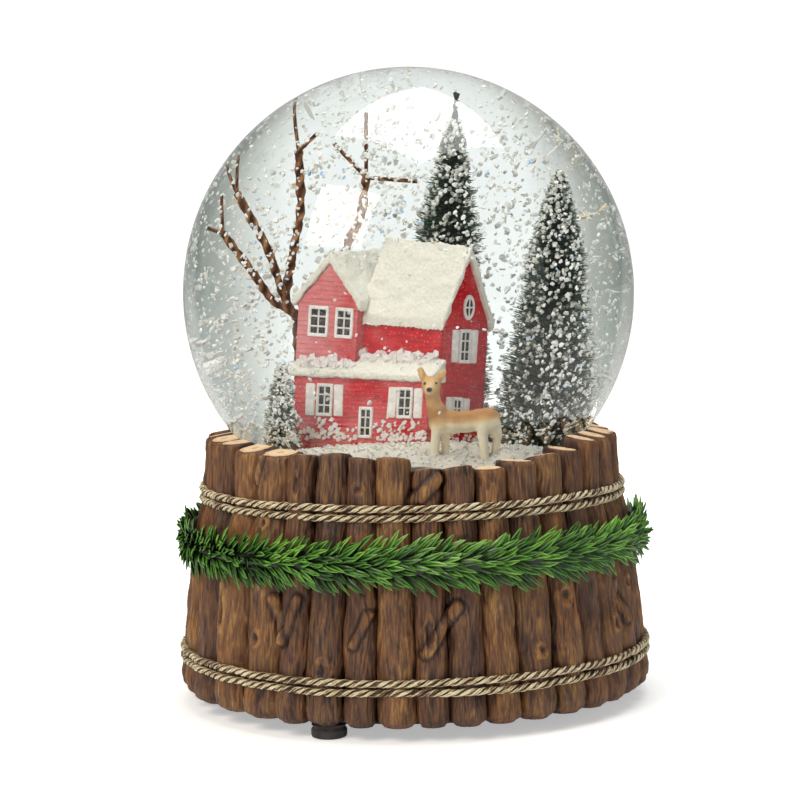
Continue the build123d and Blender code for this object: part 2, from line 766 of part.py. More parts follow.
def make_parts():
    parts = {}
    parts["log_base_shell"] = make_log_base_shell()
    for index in range(2):
        shift = lower_rope_spacing * (index - 0.5)
        parts[f"rope_lower_{index + 1}"] = make_rope(lower_rope_centre_radius, lower_rope_z + shift)
        shift = upper_rope_spacing * (index - 0.5)
        parts[f"rope_upper_{index + 1}"] = make_rope(upper_rope_centre_radius, upper_rope_z + shift)
    parts["pine_garland"] = make_garland()
    parts["bottom_plate"] = make_bottom_plate()
    parts["plate_screws"] = make_screws(
        plate_screw_spots(), plate_screw_radius, plate_screw_head_radius, plate_screw_top_z)
    for index in range(foot_count):
        parts[f"rubber_foot_{foot_names[index]}"] = make_foot(index)

    parts["glass_globe"] = make_glass_globe()
    parts["sealant_ring"] = ring(
        neck_radius + sealant_thickness, neck_radius, neck_bottom_z, sealant_top_z)
    parts["rubber_stopper"] = make_rubber_stopper()

    place = house_location()
    walls = make_house_walls()
    main_roof = make_main_roof_snow()
    scene = {}
    scene["house_body"] = place * walls
    scene["main_roof_snow"] = place * largest(main_roof - walls)
    scene["wing_roof_snow"] = place * make_wing_roof_snow(main_roof, walls)
    scene["porch_roof_snow"] = place * make_porch_roof_snow(walls)
    scene["house_windows"] = place * make_house_windows()
    scene["house_shutters"] = place * make_house_shutters()
    scene["house_door"] = place * front_panel(porch_door, porch_front, frame_proud)
    scene["deer"] = make_deer()
    for name, sizes in fir_trees.items():
        scene[name] = make_fir(*sizes)
    scene["twig_tree_left"] = make_twigs(left_twig_branches)
    scene["twig_tree_back"] = make_twigs(back_twig_branches)
    ground = make_snow_ground()
    for name, shape in scene.items():
        if name not in ("main_roof_snow", "wing_roof_snow", "porch_roof_snow"):
            ground = ground - shape
    scene["snow_ground"] = largest(ground)
    scene["settled_snow"] = make_settled_snow()
    scene["snow_flakes"] = make_snow_flakes()
    parts.update(scene)
    parts["liquid_fill"] = make_liquid_fill(scene.values())

    parts["movement_bedplate"] = make_bedplate()
    parts["spring_barrel"] = make_spring_barrel()
    parts["mainspring"] = make_mainspring()
    parts["inner_upright"] = make_upright(inner_upright_x)
    parts["outer_upright"] = make_upright(outer_upright_x)
    parts["music_comb"] = make_comb()
    parts["comb_block"] = make_comb_block()
    parts["comb_screws"] = make_comb_screws()
    parts["movement_screws"] = make_screws(movement_screw_spots, movement_screw_radius,
                                           movement_screw_head_radius, bedplate_top_z)
    parts["winding_arbor"] = make_winding_arbor()
    parts["great_wheel"] = make_great_wheel()
    parts["winding_key"] = make_winding_key()
    parts["pin_cylinder"] = make_pin_cylinder()
    parts["cylinder_arbor"] = make_cylinder_arbor()
    parts["cylinder_pinion"] = make_cylinder_pinion()
    parts["drive_gear"] = make_drive_gear()
    parts["governor_shaft"] = make_governor_shaft()
    parts["air_brake_fan"] = make_air_brake()
    return parts


os.makedirs("parts", exist_ok=True)
for name, shape in make_parts().items():
    export_step(shape, f"parts/{name}.step")
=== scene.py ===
import math
import random

import bpy
from mathutils import Matrix, Vector, noise


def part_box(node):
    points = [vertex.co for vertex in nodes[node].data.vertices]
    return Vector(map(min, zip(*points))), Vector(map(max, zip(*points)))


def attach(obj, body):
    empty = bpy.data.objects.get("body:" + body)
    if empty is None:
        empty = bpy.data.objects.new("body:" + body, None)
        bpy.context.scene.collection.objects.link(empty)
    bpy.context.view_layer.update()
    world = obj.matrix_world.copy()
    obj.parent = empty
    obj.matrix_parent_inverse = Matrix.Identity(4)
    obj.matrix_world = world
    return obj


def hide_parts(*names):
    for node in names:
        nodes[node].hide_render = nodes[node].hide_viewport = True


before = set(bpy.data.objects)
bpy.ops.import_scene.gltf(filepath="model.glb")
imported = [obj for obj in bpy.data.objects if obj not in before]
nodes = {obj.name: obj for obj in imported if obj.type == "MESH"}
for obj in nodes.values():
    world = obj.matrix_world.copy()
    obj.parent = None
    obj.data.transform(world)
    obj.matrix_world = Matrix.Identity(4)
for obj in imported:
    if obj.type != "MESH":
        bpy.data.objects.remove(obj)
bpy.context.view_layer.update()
mm = 0.001
inWater = 1.125  # paint or plastic of 1.5 seen from water of 1.333, which takes most of its gloss away
print("frame loaded:", len(nodes), "nodes")


# ---- small helpers

def toLinear(hexColour):
    channels = [int(hexColour[i:i + 2], 16) / 255 for i in (1, 3, 5)]
    return tuple(c / 12.92 if c <= 0.04045 else ((c + 0.055) / 1.055) ** 2.4 for c in channels) + (1.0,)


def addNode(tree, kind, settings=None, links=None, feeds=None):
    # settings are for its own sockets and options, links come in from other nodes, feeds go out to them
    node = tree.nodes.new("ShaderNode" + kind)
    for key, value in (settings or {}).items():
        if key == "stops":  # the colours along a ramp, as (place, hex) pairs
            ramp = node.color_ramp.elements
            while len(ramp) < len(value):
                ramp.new(0.5)
            for element, (place, hexColour) in zip(ramp, value):
                element.position = place
                element.color = toLinear(hexColour)
        elif isinstance(key, int) or key in node.inputs:
            node.inputs[key].default_value = value
        else:
            setattr(node, key, value)
    for key, source in (links or {}).items():
        tree.links.new(source, node.inputs[key])
    for key, target in (feeds or {}).items():
        tree.links.new(node.outputs[key], target)
    return node


def newMaterial(name, hexColour, roughness, **sockets):
    material = bpy.data.materials.new(name)
    material.use_nodes = True
    tree = material.node_tree
    shader = tree.nodes["Principled BSDF"]
    shader.inputs["Base Color"].default_value = toLinear(hexColour)
    shader.inputs["Roughness"].default_value = roughness
    for key, value in sockets.items():
        shader.inputs[key.replace("_", " ")].default_value = value
    return material, tree, shader


def perMm(size):
    return 1000.0 / size  # a pattern's scale from the size of one of its features in millimetres


def mottledFinish(name, hexColour, roughness, mottles, stops, measure=None, bump=None, **sockets):
    # paint, rubber or fibre whose tone runs along a ramp, led by noise or by a measure kept on the points;
    # mottles are (size in mm, detail, share), and bump is (size in mm, detail, depth in mm, strength)
    material, tree, shader = newMaterial(name, hexColour, roughness, **sockets)
    place = addNode(tree, "TexCoord").outputs["Object"]
    level = addNode(tree, "Attribute", {"attribute_name": measure}).outputs["Fac"] if measure else None
    for size, detail, share in mottles:
        cloud = addNode(tree, "TexNoise", {"Scale": perMm(size), "Detail": detail}, {"Vector": place})
        if measure:
            shift = addNode(tree, "Math", {"operation": "MULTIPLY_ADD", 1: share, 2: -share / 2},
                            {0: cloud.outputs["Fac"]})
            level = addNode(tree, "Math", {"operation": "ADD"}, {0: level, 1: shift.outputs[0]}).outputs[0]
        else:
            level = cloud.outputs["Fac"]
    addNode(tree, "ValToRGB", {"stops": stops}, {0: level}, {"Color": shader.inputs["Base Color"]})
    if bump:
        size, detail, depth, strength = bump
        grain = addNode(tree, "TexNoise", {"Scale": perMm(size), "Detail": detail}, {"Vector": place})
        addNode(tree, "Bump", {"Strength": strength, "Distance": depth * mm},
                {"Height": grain.outputs["Fac"]}, {"Normal": shader.inputs["Normal"]})
    return material


def clamp(value):
    return min(max(value, 0.0), 1.0)


def roundNoise(azimuth, size, seed):
    # noise that meets itself again after one turn round the ring
    return noise.noise(Vector((math.sin(azimuth) * size, math.cos(azimuth) * size, seed)))


def polar(radius, azimuth, z):
    # azimuth in radians, 0 at the front and growing to the viewer's right
    return (radius * math.sin(azimuth), -radius * math.cos(azimuth), z)


def smoothStep(low, high, value):
    t = clamp((value - low) / (high - low))
    return t * t * (3 - 2 * t)


def alongTable(table, value):
    # a straight-line reading between the given points of an outline
    if value <= table[0][0]:
        return table[0][1]
    for (x0, y0), (x1, y1) in zip(table[:-1], table[1:]):
        if value <= x1:
            return y0 + (y1 - y0) * (value - x0) / (x1 - x0)
    return table[-1][1]


def makePiece(name, build, materials, body, replaced=(), measures=None, smooth=True,
              faceSlots=None):
    # the build's points are in millimetres in the row frame
    mesh = bpy.data.meshes.new(name)
    mesh.from_pydata([(x * mm, y * mm, z * mm) for x, y, z in build["points"]], [], build["faces"])
    mesh.polygons.foreach_set("use_smooth", [smooth] * len(mesh.polygons))
    for material in materials:
        mesh.materials.append(material)
    if faceSlots:
        mesh.polygons.foreach_set("material_index", faceSlots)
    for key, values in (measures or {}).items():
        mesh.attributes.new(key, "FLOAT", "POINT").data.foreach_set("value", values)
    mesh.update()
    piece = bpy.data.objects.new(name, mesh)
    bpy.context.scene.collection.objects.link(piece)
    placePiece(piece, body, replaced)


def placePiece(piece, body, replaced=()):
    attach(piece, body)
    if replaced:
        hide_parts(*replaced)


def wearDown(piece, voxel, passes):
    # remeshed evenly, then rubbed smooth
    remesh = piece.modifiers.new("remesh", "REMESH")
    remesh.mode = "VOXEL"
    remesh.voxel_size = voxel * mm
    smooth = piece.modifiers.new("smooth", "SMOOTH")
    smooth.iterations = passes
    smooth.factor = 0.5
    graph = bpy.context.evaluated_depsgraph_get()
    mesh = bpy.data.meshes.new_from_object(piece.evaluated_get(graph), depsgraph=graph)
    piece.modifiers.clear()
    piece.data = mesh
    mesh.polygons.foreach_set("use_smooth", [True] * len(mesh.polygons))
    return mesh


def pushOut(mesh, push):
    # moves every point along its own normal by push(point), in millimetres
    spots = [vertex.co / mm for vertex in mesh.vertices]
    normals = [vertex.normal.copy() for vertex in mesh.vertices]
    moved = []
    for spot, normal in zip(spots, normals):
        moved.extend((spot + normal * push(spot)) * mm)
    mesh.vertices.foreach_set("co", moved)
    mesh.update()


def nodeBox(name):
    low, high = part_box(name)
    return low / mm, high / mm


def gridFaces(rows, columns, closed, start=0):
    faces = []
    span = columns if closed else columns - 1
    for row in range(rows - 1):
        for column in range(span):
            a = start + row * columns + column
            b = start + row * columns + (column + 1) % columns
            faces.append((a, b, b + columns, a + columns))
    return faces


def cappedFaces(rows, columns):
    # a grid closed round, with a cap on each end
    last = (rows - 1) * columns
    return gridFaces(rows, columns, True) + [
        tuple(reversed(range(columns))), tuple(range(last, last + columns))]


def loopFaces(rows, columns):
    # a grid closed both ways, like a ring
    last = (rows - 1) * columns
    return gridFaces(rows, columns, True) + [
        (last + c, last + (c + 1) % columns, (c + 1) % columns, c) for c in range(columns)]


def poleFaces(rows, columns):
    # a grid closed round, drawn to a point at each end
    low = 1 + (rows - 1) * columns
    last = low + columns
    return ([(0, 1 + (c + 1) % columns, 1 + c) for c in range(columns)] + gridFaces(rows, columns, True, 1)
            + [(low + c, low + (c + 1) % columns, last) for c in range(columns)])


def addShape(build, points, faces):
    start = len(build["points"])
    build["points"].extend(points)
    build["faces"].extend([tuple(start + i for i in face) for face in faces])


def newBuild():
    return {"points": [], "faces": []}


def tubePoints(path, radii, sides):
    # rings square to the path, each turned as little as can be from the one before
    points = []
    last = len(path) - 1
    side = None
    for index, (centre, radius) in enumerate(zip(path, radii)):
        ahead = (path[min(index + 1, last)] - path[max(index - 1, 0)]).normalized()
        if side is None:
            side = ahead.orthogonal().normalized()
        side = (side - ahead * side.dot(ahead)).normalized()
        other = ahead.cross(side)
        for step in range(sides):
            angle = 2 * math.pi * step / sides
            points.append(tuple(centre + radius * (math.cos(angle) * side + math.sin(angle) * other)))
    return points


def addTube(build, path, radii, sides):
    addShape(build, tubePoints(path, radii, sides), cappedFaces(len(path), sides))


def addChip(build, rng, centre, size, flatness, facing=None):
    # an irregular flat chip: a bent polygon with a top and a bottom
    corners = rng.randint(4, 6)
    normal = Vector(facing) if facing else Vector((rng.gauss(0, 1), rng.gauss(0, 1), rng.gauss(0, 1)))
    normal.normalize()
    side = normal.orthogonal().normalized()
    other = normal.cross(side)
    turn = rng.uniform(0, 2 * math.pi)
    rim = []
    for corner in range(corners):
        angle = turn + 2 * math.pi * (corner + rng.uniform(-0.25, 0.25)) / corners
        reach = size * rng.uniform(0.62, 1.0) * 0.5
        rim.append(math.cos(angle) * reach * side + math.sin(angle) * reach * 0.8 * other)
    half = normal * size * flatness * 0.5
    middle = Vector(centre)
    points = [tuple(middle + p + half) for p in rim] + [tuple(middle + p - half) for p in rim]
    faces = [tuple(range(corners)), tuple(reversed(range(corners, 2 * corners)))]
    faces += [(c, c + corners, (c + 1) % corners + corners, (c + 1) % corners) for c in range(corners)]
    addShape(build, points, faces)


# ---- camera, world, lamps and floor

camera = {
    "place": (0.0, -616.6, 131.5),
    "lens": 103.8,
    "down": 4.84,
    "yaw": -0.26,
    "roll": -1.07,
}


def makeCamera():
    data = bpy.data.cameras.new("camera")
    data.lens = camera["lens"]
    data.sensor_width = 36.0
    data.dof.use_dof = False
    data.clip_start = 0.01
    data.clip_end = 50.0
    view = bpy.data.objects.new("camera", data)
    view.location = Vector(camera["place"]) * mm
    yaw = Matrix.Rotation(-math.radians(camera["yaw"]), 4, "Z")
    pitch = Matrix.Rotation(math.radians(90 - camera["down"]), 4, "X")
    roll = Matrix.Rotation(math.radians(camera["roll"]), 4, "Z")
    view.matrix_world = Matrix.Translation(view.location) @ yaw @ pitch @ roll
    bpy.context.scene.collection.objects.link(view)
    bpy.context.scene.camera = view


light = {
    "backdrop": 1.05,       # the white sweep behind, as seen directly and through the water
    "ambient": 0.46,        # what the room gives to matt surfaces
    "sides": "#ABACA6",     # grey room to the left and right of the sweep
    "edge": "#858B88",      # the darker gap at the edge of the sweep
}


def sweepColour(tree, place):
    # the room by bearing: a white sweep behind the object, its darker edges, then grey room
    split = addNode(tree, "SeparateXYZ", None, {0: place})
    # the angle away from straight behind, 0 behind the object and 1 in front of it
    turn = addNode(tree, "Math", {"operation": "ARCTAN2"}, {0: split.outputs["X"], 1: split.outputs["Y"]})
    away = addNode(tree, "Math", {"operation": "ABSOLUTE"}, {0: turn.outputs[0]})
    share = addNode(tree, "Math", {"operation": "DIVIDE", 1: math.pi}, {0: away.outputs[0]})
    return addNode(tree, "ValToRGB", {"stops": [
        (0.0, "#FFFFFF"), (0.07, "#FFFFFF"), (0.15, "#B4B5AF"), (0.24, light["edge"]), (0.26, light["sides"]),
        (0.6, light["sides"]), (1.0, "#B4B6B4")]}, {0: share.outputs[0]})


def makeWorld():
    world = bpy.data.worlds.new("studio")
    world.use_nodes = True
    tree = world.node_tree
    tree.nodes.clear()
    sweep = sweepColour(tree, addNode(tree, "TexCoord").outputs["Generated"])
    seen = addNode(tree, "LightPath")
    room = addNode(tree, "Mix", {"data_type": "RGBA", 7: (1.0, 1.0, 1.0, 1.0)},
                   {"Factor": seen.outputs["Is Camera Ray"], 6: sweep.outputs["Color"]})
    plain = addNode(tree, "Math", {"operation": "MAXIMUM"},
                    {0: seen.outputs["Is Camera Ray"], 1: seen.outputs["Is Transmission Ray"]})
    strength = addNode(tree, "MapRange", {"To Min": light["ambient"], "To Max": light["backdrop"]},
                       {"Value": plain.outputs[0]})
    background = addNode(tree, "Background", None,
                         {"Color": room.outputs[2], "Strength": strength.outputs["Result"]})
    addNode(tree, "OutputWorld", None, {"Surface": background.outputs[0]})
    bpy.context.scene.world = world


lamps = [
    # name, place, watts, size, colour
    ("key_softbox", (-420, -520, 620), 4.2, 420, "#FFF6EC"),
    ("top_softbox", (60, 60, 760), 4.0, 520, "#FFFFFF"),
    ("fill_card", (560, -420, 260), 0.35, 420, "#F2F6FF"),
]


def makeLamps():
    for name, place, watts, size, hexColour in lamps:
        data = bpy.data.lights.new(name, "AREA")
        data.energy = watts
        data.size = size * mm
        data.color = toLinear(hexColour)[:3]
        lamp = bpy.data.objects.new(name, data)
        lamp.location = Vector(place) * mm
        aim = Vector((0, 0, 0.08)) - lamp.location
        lamp.rotation_euler = aim.to_track_quat("-Z", "Y").to_euler()
        bpy.context.scene.collection.objects.link(lamp)


floor = {
    "reach": 6.0,           # metres each way
    "shade": (0.08, 0.35),  # metres from the middle over which the shade beside the object fades
    "glow": (0.42, 0.95),   # how brightly the sweep is lit there and beyond
    "leastGlow": 0.16,
}


def makeFloor():
    material, tree, shader = newMaterial("matt white paper sweep", "#F4F4F2", 0.85)
    shader.inputs["Emission Color"].default_value = toLinear("#FFFFFF")
    place = addNode(tree, "TexCoord").outputs["Object"]
    # lit evenly away from the object, with a trace of shade left beside it
    away = addNode(tree, "VectorMath", {"operation": "LENGTH"}, {0: place})
    glow = addNode(tree, "MapRange", {"From Min": floor["shade"][0], "From Max": floor["shade"][1],
                                      "To Min": floor["glow"][0], "To Max": floor["glow"][1]},
                   {"Value": away.outputs["Value"]})
    seen = addNode(tree, "LightPath")
    near = addNode(tree, "Math", {"operation": "MULTIPLY"},
                   {0: glow.outputs["Result"], 1: seen.outputs["Is Camera Ray"]})
    addNode(tree, "Math", {"operation": "MAXIMUM", 1: floor["leastGlow"]}, {0: near.outputs[0]},
            {0: shader.inputs["Emission Strength"]})
    # through the water the far floor looks like the sweep above it
    sweep = sweepColour(tree, place)
    bright = addNode(tree, "Emission", {"Strength": 1.0}, {"Color": sweep.outputs["Color"]})
    mixed = addNode(tree, "MixShader", None, {0: seen.outputs["Is Transmission Ray"], 1: shader.outputs[0],
                                              2: bright.outputs[0]})
    # clear from below, so the underside can be looked at through it
    below = addNode(tree, "NewGeometry")
    clear = addNode(tree, "BsdfTransparent")
    addNode(tree, "MixShader", None,
            {0: below.outputs["Backfacing"], 1: mixed.outputs[0], 2: clear.outputs[0]},
            {0: tree.nodes["Material Output"].inputs["Surface"]})
    mesh = bpy.data.meshes.new("floor")
    reach = floor["reach"]
    mesh.from_pydata([(-reach, -reach, 0), (reach, -reach, 0), (reach, reach, 0), (-reach, reach, 0)], [],
                     [(0, 1, 2, 3)])
    mesh.materials.append(material)
    sheet = bpy.data.objects.new("floor", mesh)
    bpy.context.scene.collection.objects.link(sheet)


makeCamera()
makeWorld()
makeLamps()
makeFloor()
bpy.context.scene.view_settings.view_transform = "Standard"
print("camera, world, lamps and floor made")


# ---- glass ball

ballLow, ballHigh = nodeBox("glass_globe")
ball = {
    "radius": 60.0,
    "wall": 2.0,
    "neckRadius": 41.0,
    "neckWall": 2.5,
    "neckLow": ballLow.z,
    "columns": 192,
    "rings": 96,
}
ball["centre"] = ballHigh.z - ball["radius"]


def letLampsThrough(tree, shader):
    # lamps and bounced light pass straight through, so the scene inside is lit evenly
    seen = addNode(tree, "LightPath")
    either = addNode(tree, "Math", {"operation": "MAXIMUM"},
                     {0: seen.outputs["Is Shadow Ray"], 1: seen.outputs["Is Diffuse Ray"]})
    clear = addNode(tree, "BsdfTransparent")
    addNode(tree, "MixShader", None, {0: either.outputs[0], 1: shader.outputs[0], 2: clear.outputs[0]},
            {0: tree.nodes["Material Output"].inputs["Surface"]})


def makeGlassBall():
    # blown soda glass: clear, with a crisp edge where the wall turns away
    outside, tree, shader = newMaterial("blown glass in air", "#FDFFFE", 0.0, Transmission_Weight=1.0,
                                        IOR=1.5)
    letLampsThrough(tree, shader)
    # the same wall against the water inside, 1.5 over 1.333: nearly no gloss, and it completes the bend
    inside, tree, shader = newMaterial("blown glass in water", "#FDFFFE", 0.0, Transmission_Weight=1.0,
                                       IOR=inWater)
    letLampsThrough(tree, shader)
    columns, rings = ball["columns"], ball["rings"]
    surfaces = [(ball["radius"], ball["neckRadius"]),
                (ball["radius"] - ball["wall"], ball["neckRadius"] - ball["neckWall"])]
    build = newBuild()
    slots = []
    for surface, (radius, neck) in enumerate(surfaces):
        # from the neck's foot up to the crown
        start = math.asin(neck / radius)
        arc = [(neck, ball["neckLow"])]
        for step in range(rings):
            angle = start + (math.pi - start) * step / rings
            arc.append((radius * math.sin(angle), ball["centre"] - radius * math.cos(angle)))
        points = [polar(reach, 2 * math.pi * c / columns, z) for reach, z in arc for c in range(columns)]
        crown, low = len(points), len(points) - columns
        points.append((0.0, 0.0, ball["centre"] + radius))
        faces = gridFaces(len(arc), columns, True)
        faces += [(low + c, low + (c + 1) % columns, crown) for c in range(columns)]
        if surface:
            faces = [tuple(reversed(face)) for face in faces]
        addShape(build, points, faces)
        slots += [surface] * len(faces)
    inner = len(build["points"]) // 2
    build["faces"] += [(inner + c, inner + (c + 1) % columns, (c + 1) % columns, c) for c in range(columns)]
    slots += [0] * columns   # the neck's rim
    makePiece("glass_ball", build, [outside, inside], "globe", ("glass_globe",),
              faceSlots=slots)


water = {
    "gap": 0.06,    # a hair's breadth clear of the glass
    "low": 64.6,
    "columns": 96,
    "rings": 48,
}


def makeWater():
    # still, clear water; the bend into it is made at the glass wall, so it adds only its faint tint
    material, tree, shader = newMaterial("clear water", "#FBFEFD", 0.0, Transmission_Weight=1.0, IOR=1.0)
    letLampsThrough(tree, shader)
    columns, rings = water["columns"], water["rings"]
    radius = ball["radius"] - ball["wall"] - water["gap"]
    start = math.acos((ball["centre"] - water["low"]) / radius)
    points = [(0.0, 0.0, water["low"])]
    for step in range(rings):
        angle = start + (math.pi - start) * step / rings
        z = ball["centre"] - radius * math.cos(angle)
        points += [polar(radius * math.sin(angle), 2 * math.pi * c / columns, z) for c in range(columns)]
    points.append((0.0, 0.0, ball["centre"] + radius))
    build = {"points": points, "faces": poleFaces(rings, columns)}
    makePiece("water", build, [material], "globe", ("liquid_fill",))


makeGlassBall()
makeWater()
print("glass ball and water made")


# ---- the ring of logs

logs = {
    # edges in degrees round the ring, 0 at the front and growing to the right
    "edges": [-89, -80, -70, -59, -47, -35.5, -27, -17.5, -9.5, 0, 8, 17, 26, 36, 45, 54, 63, 73, 80.5, 89],
    "backLogs": 22,
    # the ring's outline, (height, radius), pinched a little under the ropes and the garland
    "outline": [(3.5, 62.2), (8, 62.9), (13.8, 62.0), (19, 61.6), (25, 60.9), (35, 59.6), (43.9, 58.3),
                (50, 57.3), (56, 55.8), (60, 55.6), (64, 55.3), (72, 55.0)],
    # how tall the logs are, (degrees round the ring, height)
    "tops": [(-180, 70.2), (-150, 71.2), (-120, 69.8), (-95, 71.4), (-68, 71.3), (-52, 70.2), (-40, 69.7),
             (-30, 69.4), (-21, 69.9), (-15, 68.8), (-3, 68.3), (5, 65.7), (11, 66.4), (20, 65.7), (29, 67.2),
             (37, 67.9), (46, 67.9), (56, 70.6), (64, 71.1), (72, 71.1), (95, 69.9), (120, 71.3),
             (150, 69.6), (180, 70.2)],
    "bottom": 3.5,
    "frontColumns": 74,  # close-set columns over the side that shows, and a few behind
    "backColumns": 12,
    "frontReach": 104,   # degrees round from a log's outermost line that the close-set columns cover
    "rows": 118,
    "barkTops": [6, 7, 8, 9, 10, 11, 14],   # logs whose sawn end falls away behind their bark edge
    "levelTops": [12, 13],
    "depth": 0.92,       # how round each log is, as a share of its half width
    "fibreWidth": 0.52,  # millimetres between the ridges of the bark, drawn about as coarse as they are
    "fibreLength": 7.0,
    "fibreDeep": 0.42,
    "lumpSize": 5.0,
    "lumpDeep": 0.50,
}

# marks on the bark: (kind, azimuth in degrees, height, half width, half height), sizes in millimetres
barkMarks = [
    ("knot", -22.0, 17.5, 2.0, 2.6),
    ("eye", -54.5, 30.0, 1.6, 5.6),
    ("eye", 3.5, 27.0, 1.2, 4.6),
    ("knot", -41.0, 24.0, 1.5, 1.9),
    ("knot", 31.0, 21.0, 1.6, 1.6),
    ("knot", 39.5, 33.5, 1.7, 2.2),
    ("knot", 58.0, 24.0, 1.5, 2.0),
    ("knot", -14.0, 62.0, 1.4, 1.4),
    ("knot", -41.0, 52.5, 1.2, 1.3),
    ("eye", -31.0, 62.5, 0.9, 3.0),
    ("knot", 68.0, 33.0, 1.4, 1.7),
    ("knot", 110.0, 30.0, 1.9, 2.4),
    ("eye", 140.0, 24.0, 1.5, 5.0),
    ("knot", 165.0, 33.0, 1.7, 2.0),
    ("knot", -165.0, 22.0, 1.6, 2.2),
    ("eye", -140.0, 31.0, 1.5, 5.2),
    ("knot", -112.0, 25.0, 1.8, 2.2),
    ("knot", 128.0, 59.0, 1.4, 1.5),
    ("knot", -128.0, 60.0, 1.4, 1.6),
]


# small branches lying along the bark: (azimuth, height) of each end, then half width
barkBranches = [
    ((2.5, 22.0), (10.5, 33.5), 1.15),
    ((-33.0, 24.0), (-37.0, 34.0), 1.1),
    ((-33.0, 24.0), (-29.5, 34.5), 1.1),
    ((0.5, 58.8), (6.5, 64.0), 1.4),
    ((60.5, 34.0), (66.0, 24.0), 1.2),
    ((-11.0, 31.5), (-14.5, 24.0), 1.0),
    ((-46.5, 62.0), (-43.5, 70.0), 0.9),
    ((150.0, 20.0), (156.0, 34.0), 1.2),
    ((-150.0, 62.0), (-146.0, 67.0), 1.2),
    ((100.0, 18.0), (104.0, 9.0), 1.1),
]


def makeBark():
    # carved resin bark: a dark wash left in the grooves, ochre dry-brushed over the ridges
    material, tree, shader = newMaterial("painted resin bark", "#6A4F3A", 0.5)
    relief = addNode(tree, "Attribute", {"attribute_name": "relief"})
    tint = addNode(tree, "Attribute", {"attribute_name": "tint"})
    place = addNode(tree, "TexCoord").outputs["Object"]
    # fine streaks about 0.4 mm across, drawn out eightfold along the grain
    stretch = addNode(tree, "Mapping", {"Scale": (1.0, 1.0, 0.12)}, {"Vector": place})
    speckle = addNode(tree, "TexNoise", {"Scale": perMm(0.5), "Detail": 5.0, "Roughness": 0.65},
                      {"Vector": stretch.outputs["Vector"]})
    # stains about 12 mm across
    stain = addNode(tree, "TexNoise", {"Scale": perMm(12.0), "Detail": 3.0}, {"Vector": place})
    shift = addNode(tree, "Math", {"operation": "MULTIPLY_ADD", 1: 1.1, 2: -0.55},
                    {0: speckle.outputs["Fac"]})
    level = addNode(tree, "Math", {"operation": "ADD"}, {0: relief.outputs["Fac"], 1: shift.outputs[0]})
    colour = addNode(tree, "ValToRGB", {"stops": [
        (0.08, "#1C120E"), (0.28, "#443027"), (0.50, "#6B4E3A"), (0.70, "#8C6A42"), (0.92, "#BC965C")]},
        {0: level.outputs[0]})
    stained = addNode(tree, "Mix", {"data_type": "RGBA", "blend_type": "MULTIPLY", 7: toLinear("#B98F66")},
                      {"Factor": stain.outputs["Fac"], 6: colour.outputs["Color"]})
    warm = addNode(tree, "Mix", {"data_type": "RGBA", 7: toLinear("#A9652F")},
                   {"Factor": tint.outputs["Fac"], 6: stained.outputs[2]})
    tree.links.new(warm.outputs[2], shader.inputs["Base Color"])
    gloss = addNode(tree, "MapRange", {"To Min": 0.42, "To Max": 0.7}, {"Value": level.outputs[0]})
    tree.links.new(gloss.outputs["Result"], shader.inputs["Roughness"])
    addNode(tree, "Bump", {"Strength": 0.9, "Distance": 0.22 * mm}, {"Height": speckle.outputs["Fac"]},
            {"Normal": shader.inputs["Normal"]})
    return material


def makeCutWood():
    # sawn ends painted a light tan, with faint year rings and a darker heart
    material, tree, shader = newMaterial("painted sawn wood", "#D9B78A", 0.6)
    ring = addNode(tree, "Attribute", {"attribute_name": "ring"})
    place = addNode(tree, "TexCoord").outputs["Object"]
    grain = addNode(tree, "TexNoise", {"Scale": perMm(1.2), "Detail": 4.0}, {"Vector": place})
    across = addNode(tree, "Math", {"operation": "MULTIPLY_ADD", 1: 26.0},
                     {0: ring.outputs["Fac"], 2: grain.outputs["Fac"]})
    bands = addNode(tree, "Math", {"operation": "SINE"}, {0: across.outputs[0]})
    rim = addNode(tree, "Math", {"operation": "MULTIPLY_ADD", 1: 0.10},
                  {0: bands.outputs[0], 2: ring.outputs["Fac"]})
    colour = addNode(tree, "ValToRGB", {"stops": [
        (0.0, "#B98D5C"), (0.12, "#D2A877"), (0.35, "#E2C7A1"), (0.8, "#DDBE94"), (0.93, "#A97A4C"),
        (1.0, "#5B3C26")]}, {0: rim.outputs[0]})
    tree.links.new(colour.outputs["Color"], shader.inputs["Base Color"])
    addNode(tree, "Bump", {"Strength": 0.5, "Distance": 0.06 * mm}, {"Height": bands.outputs[0]},
            {"Normal": shader.inputs["Normal"]})
    return material


def ringRadius(z):
    return alongTable(logs["outline"], z)


def angleGap(a, b):
    return (a - b + 180) % 360 - 180


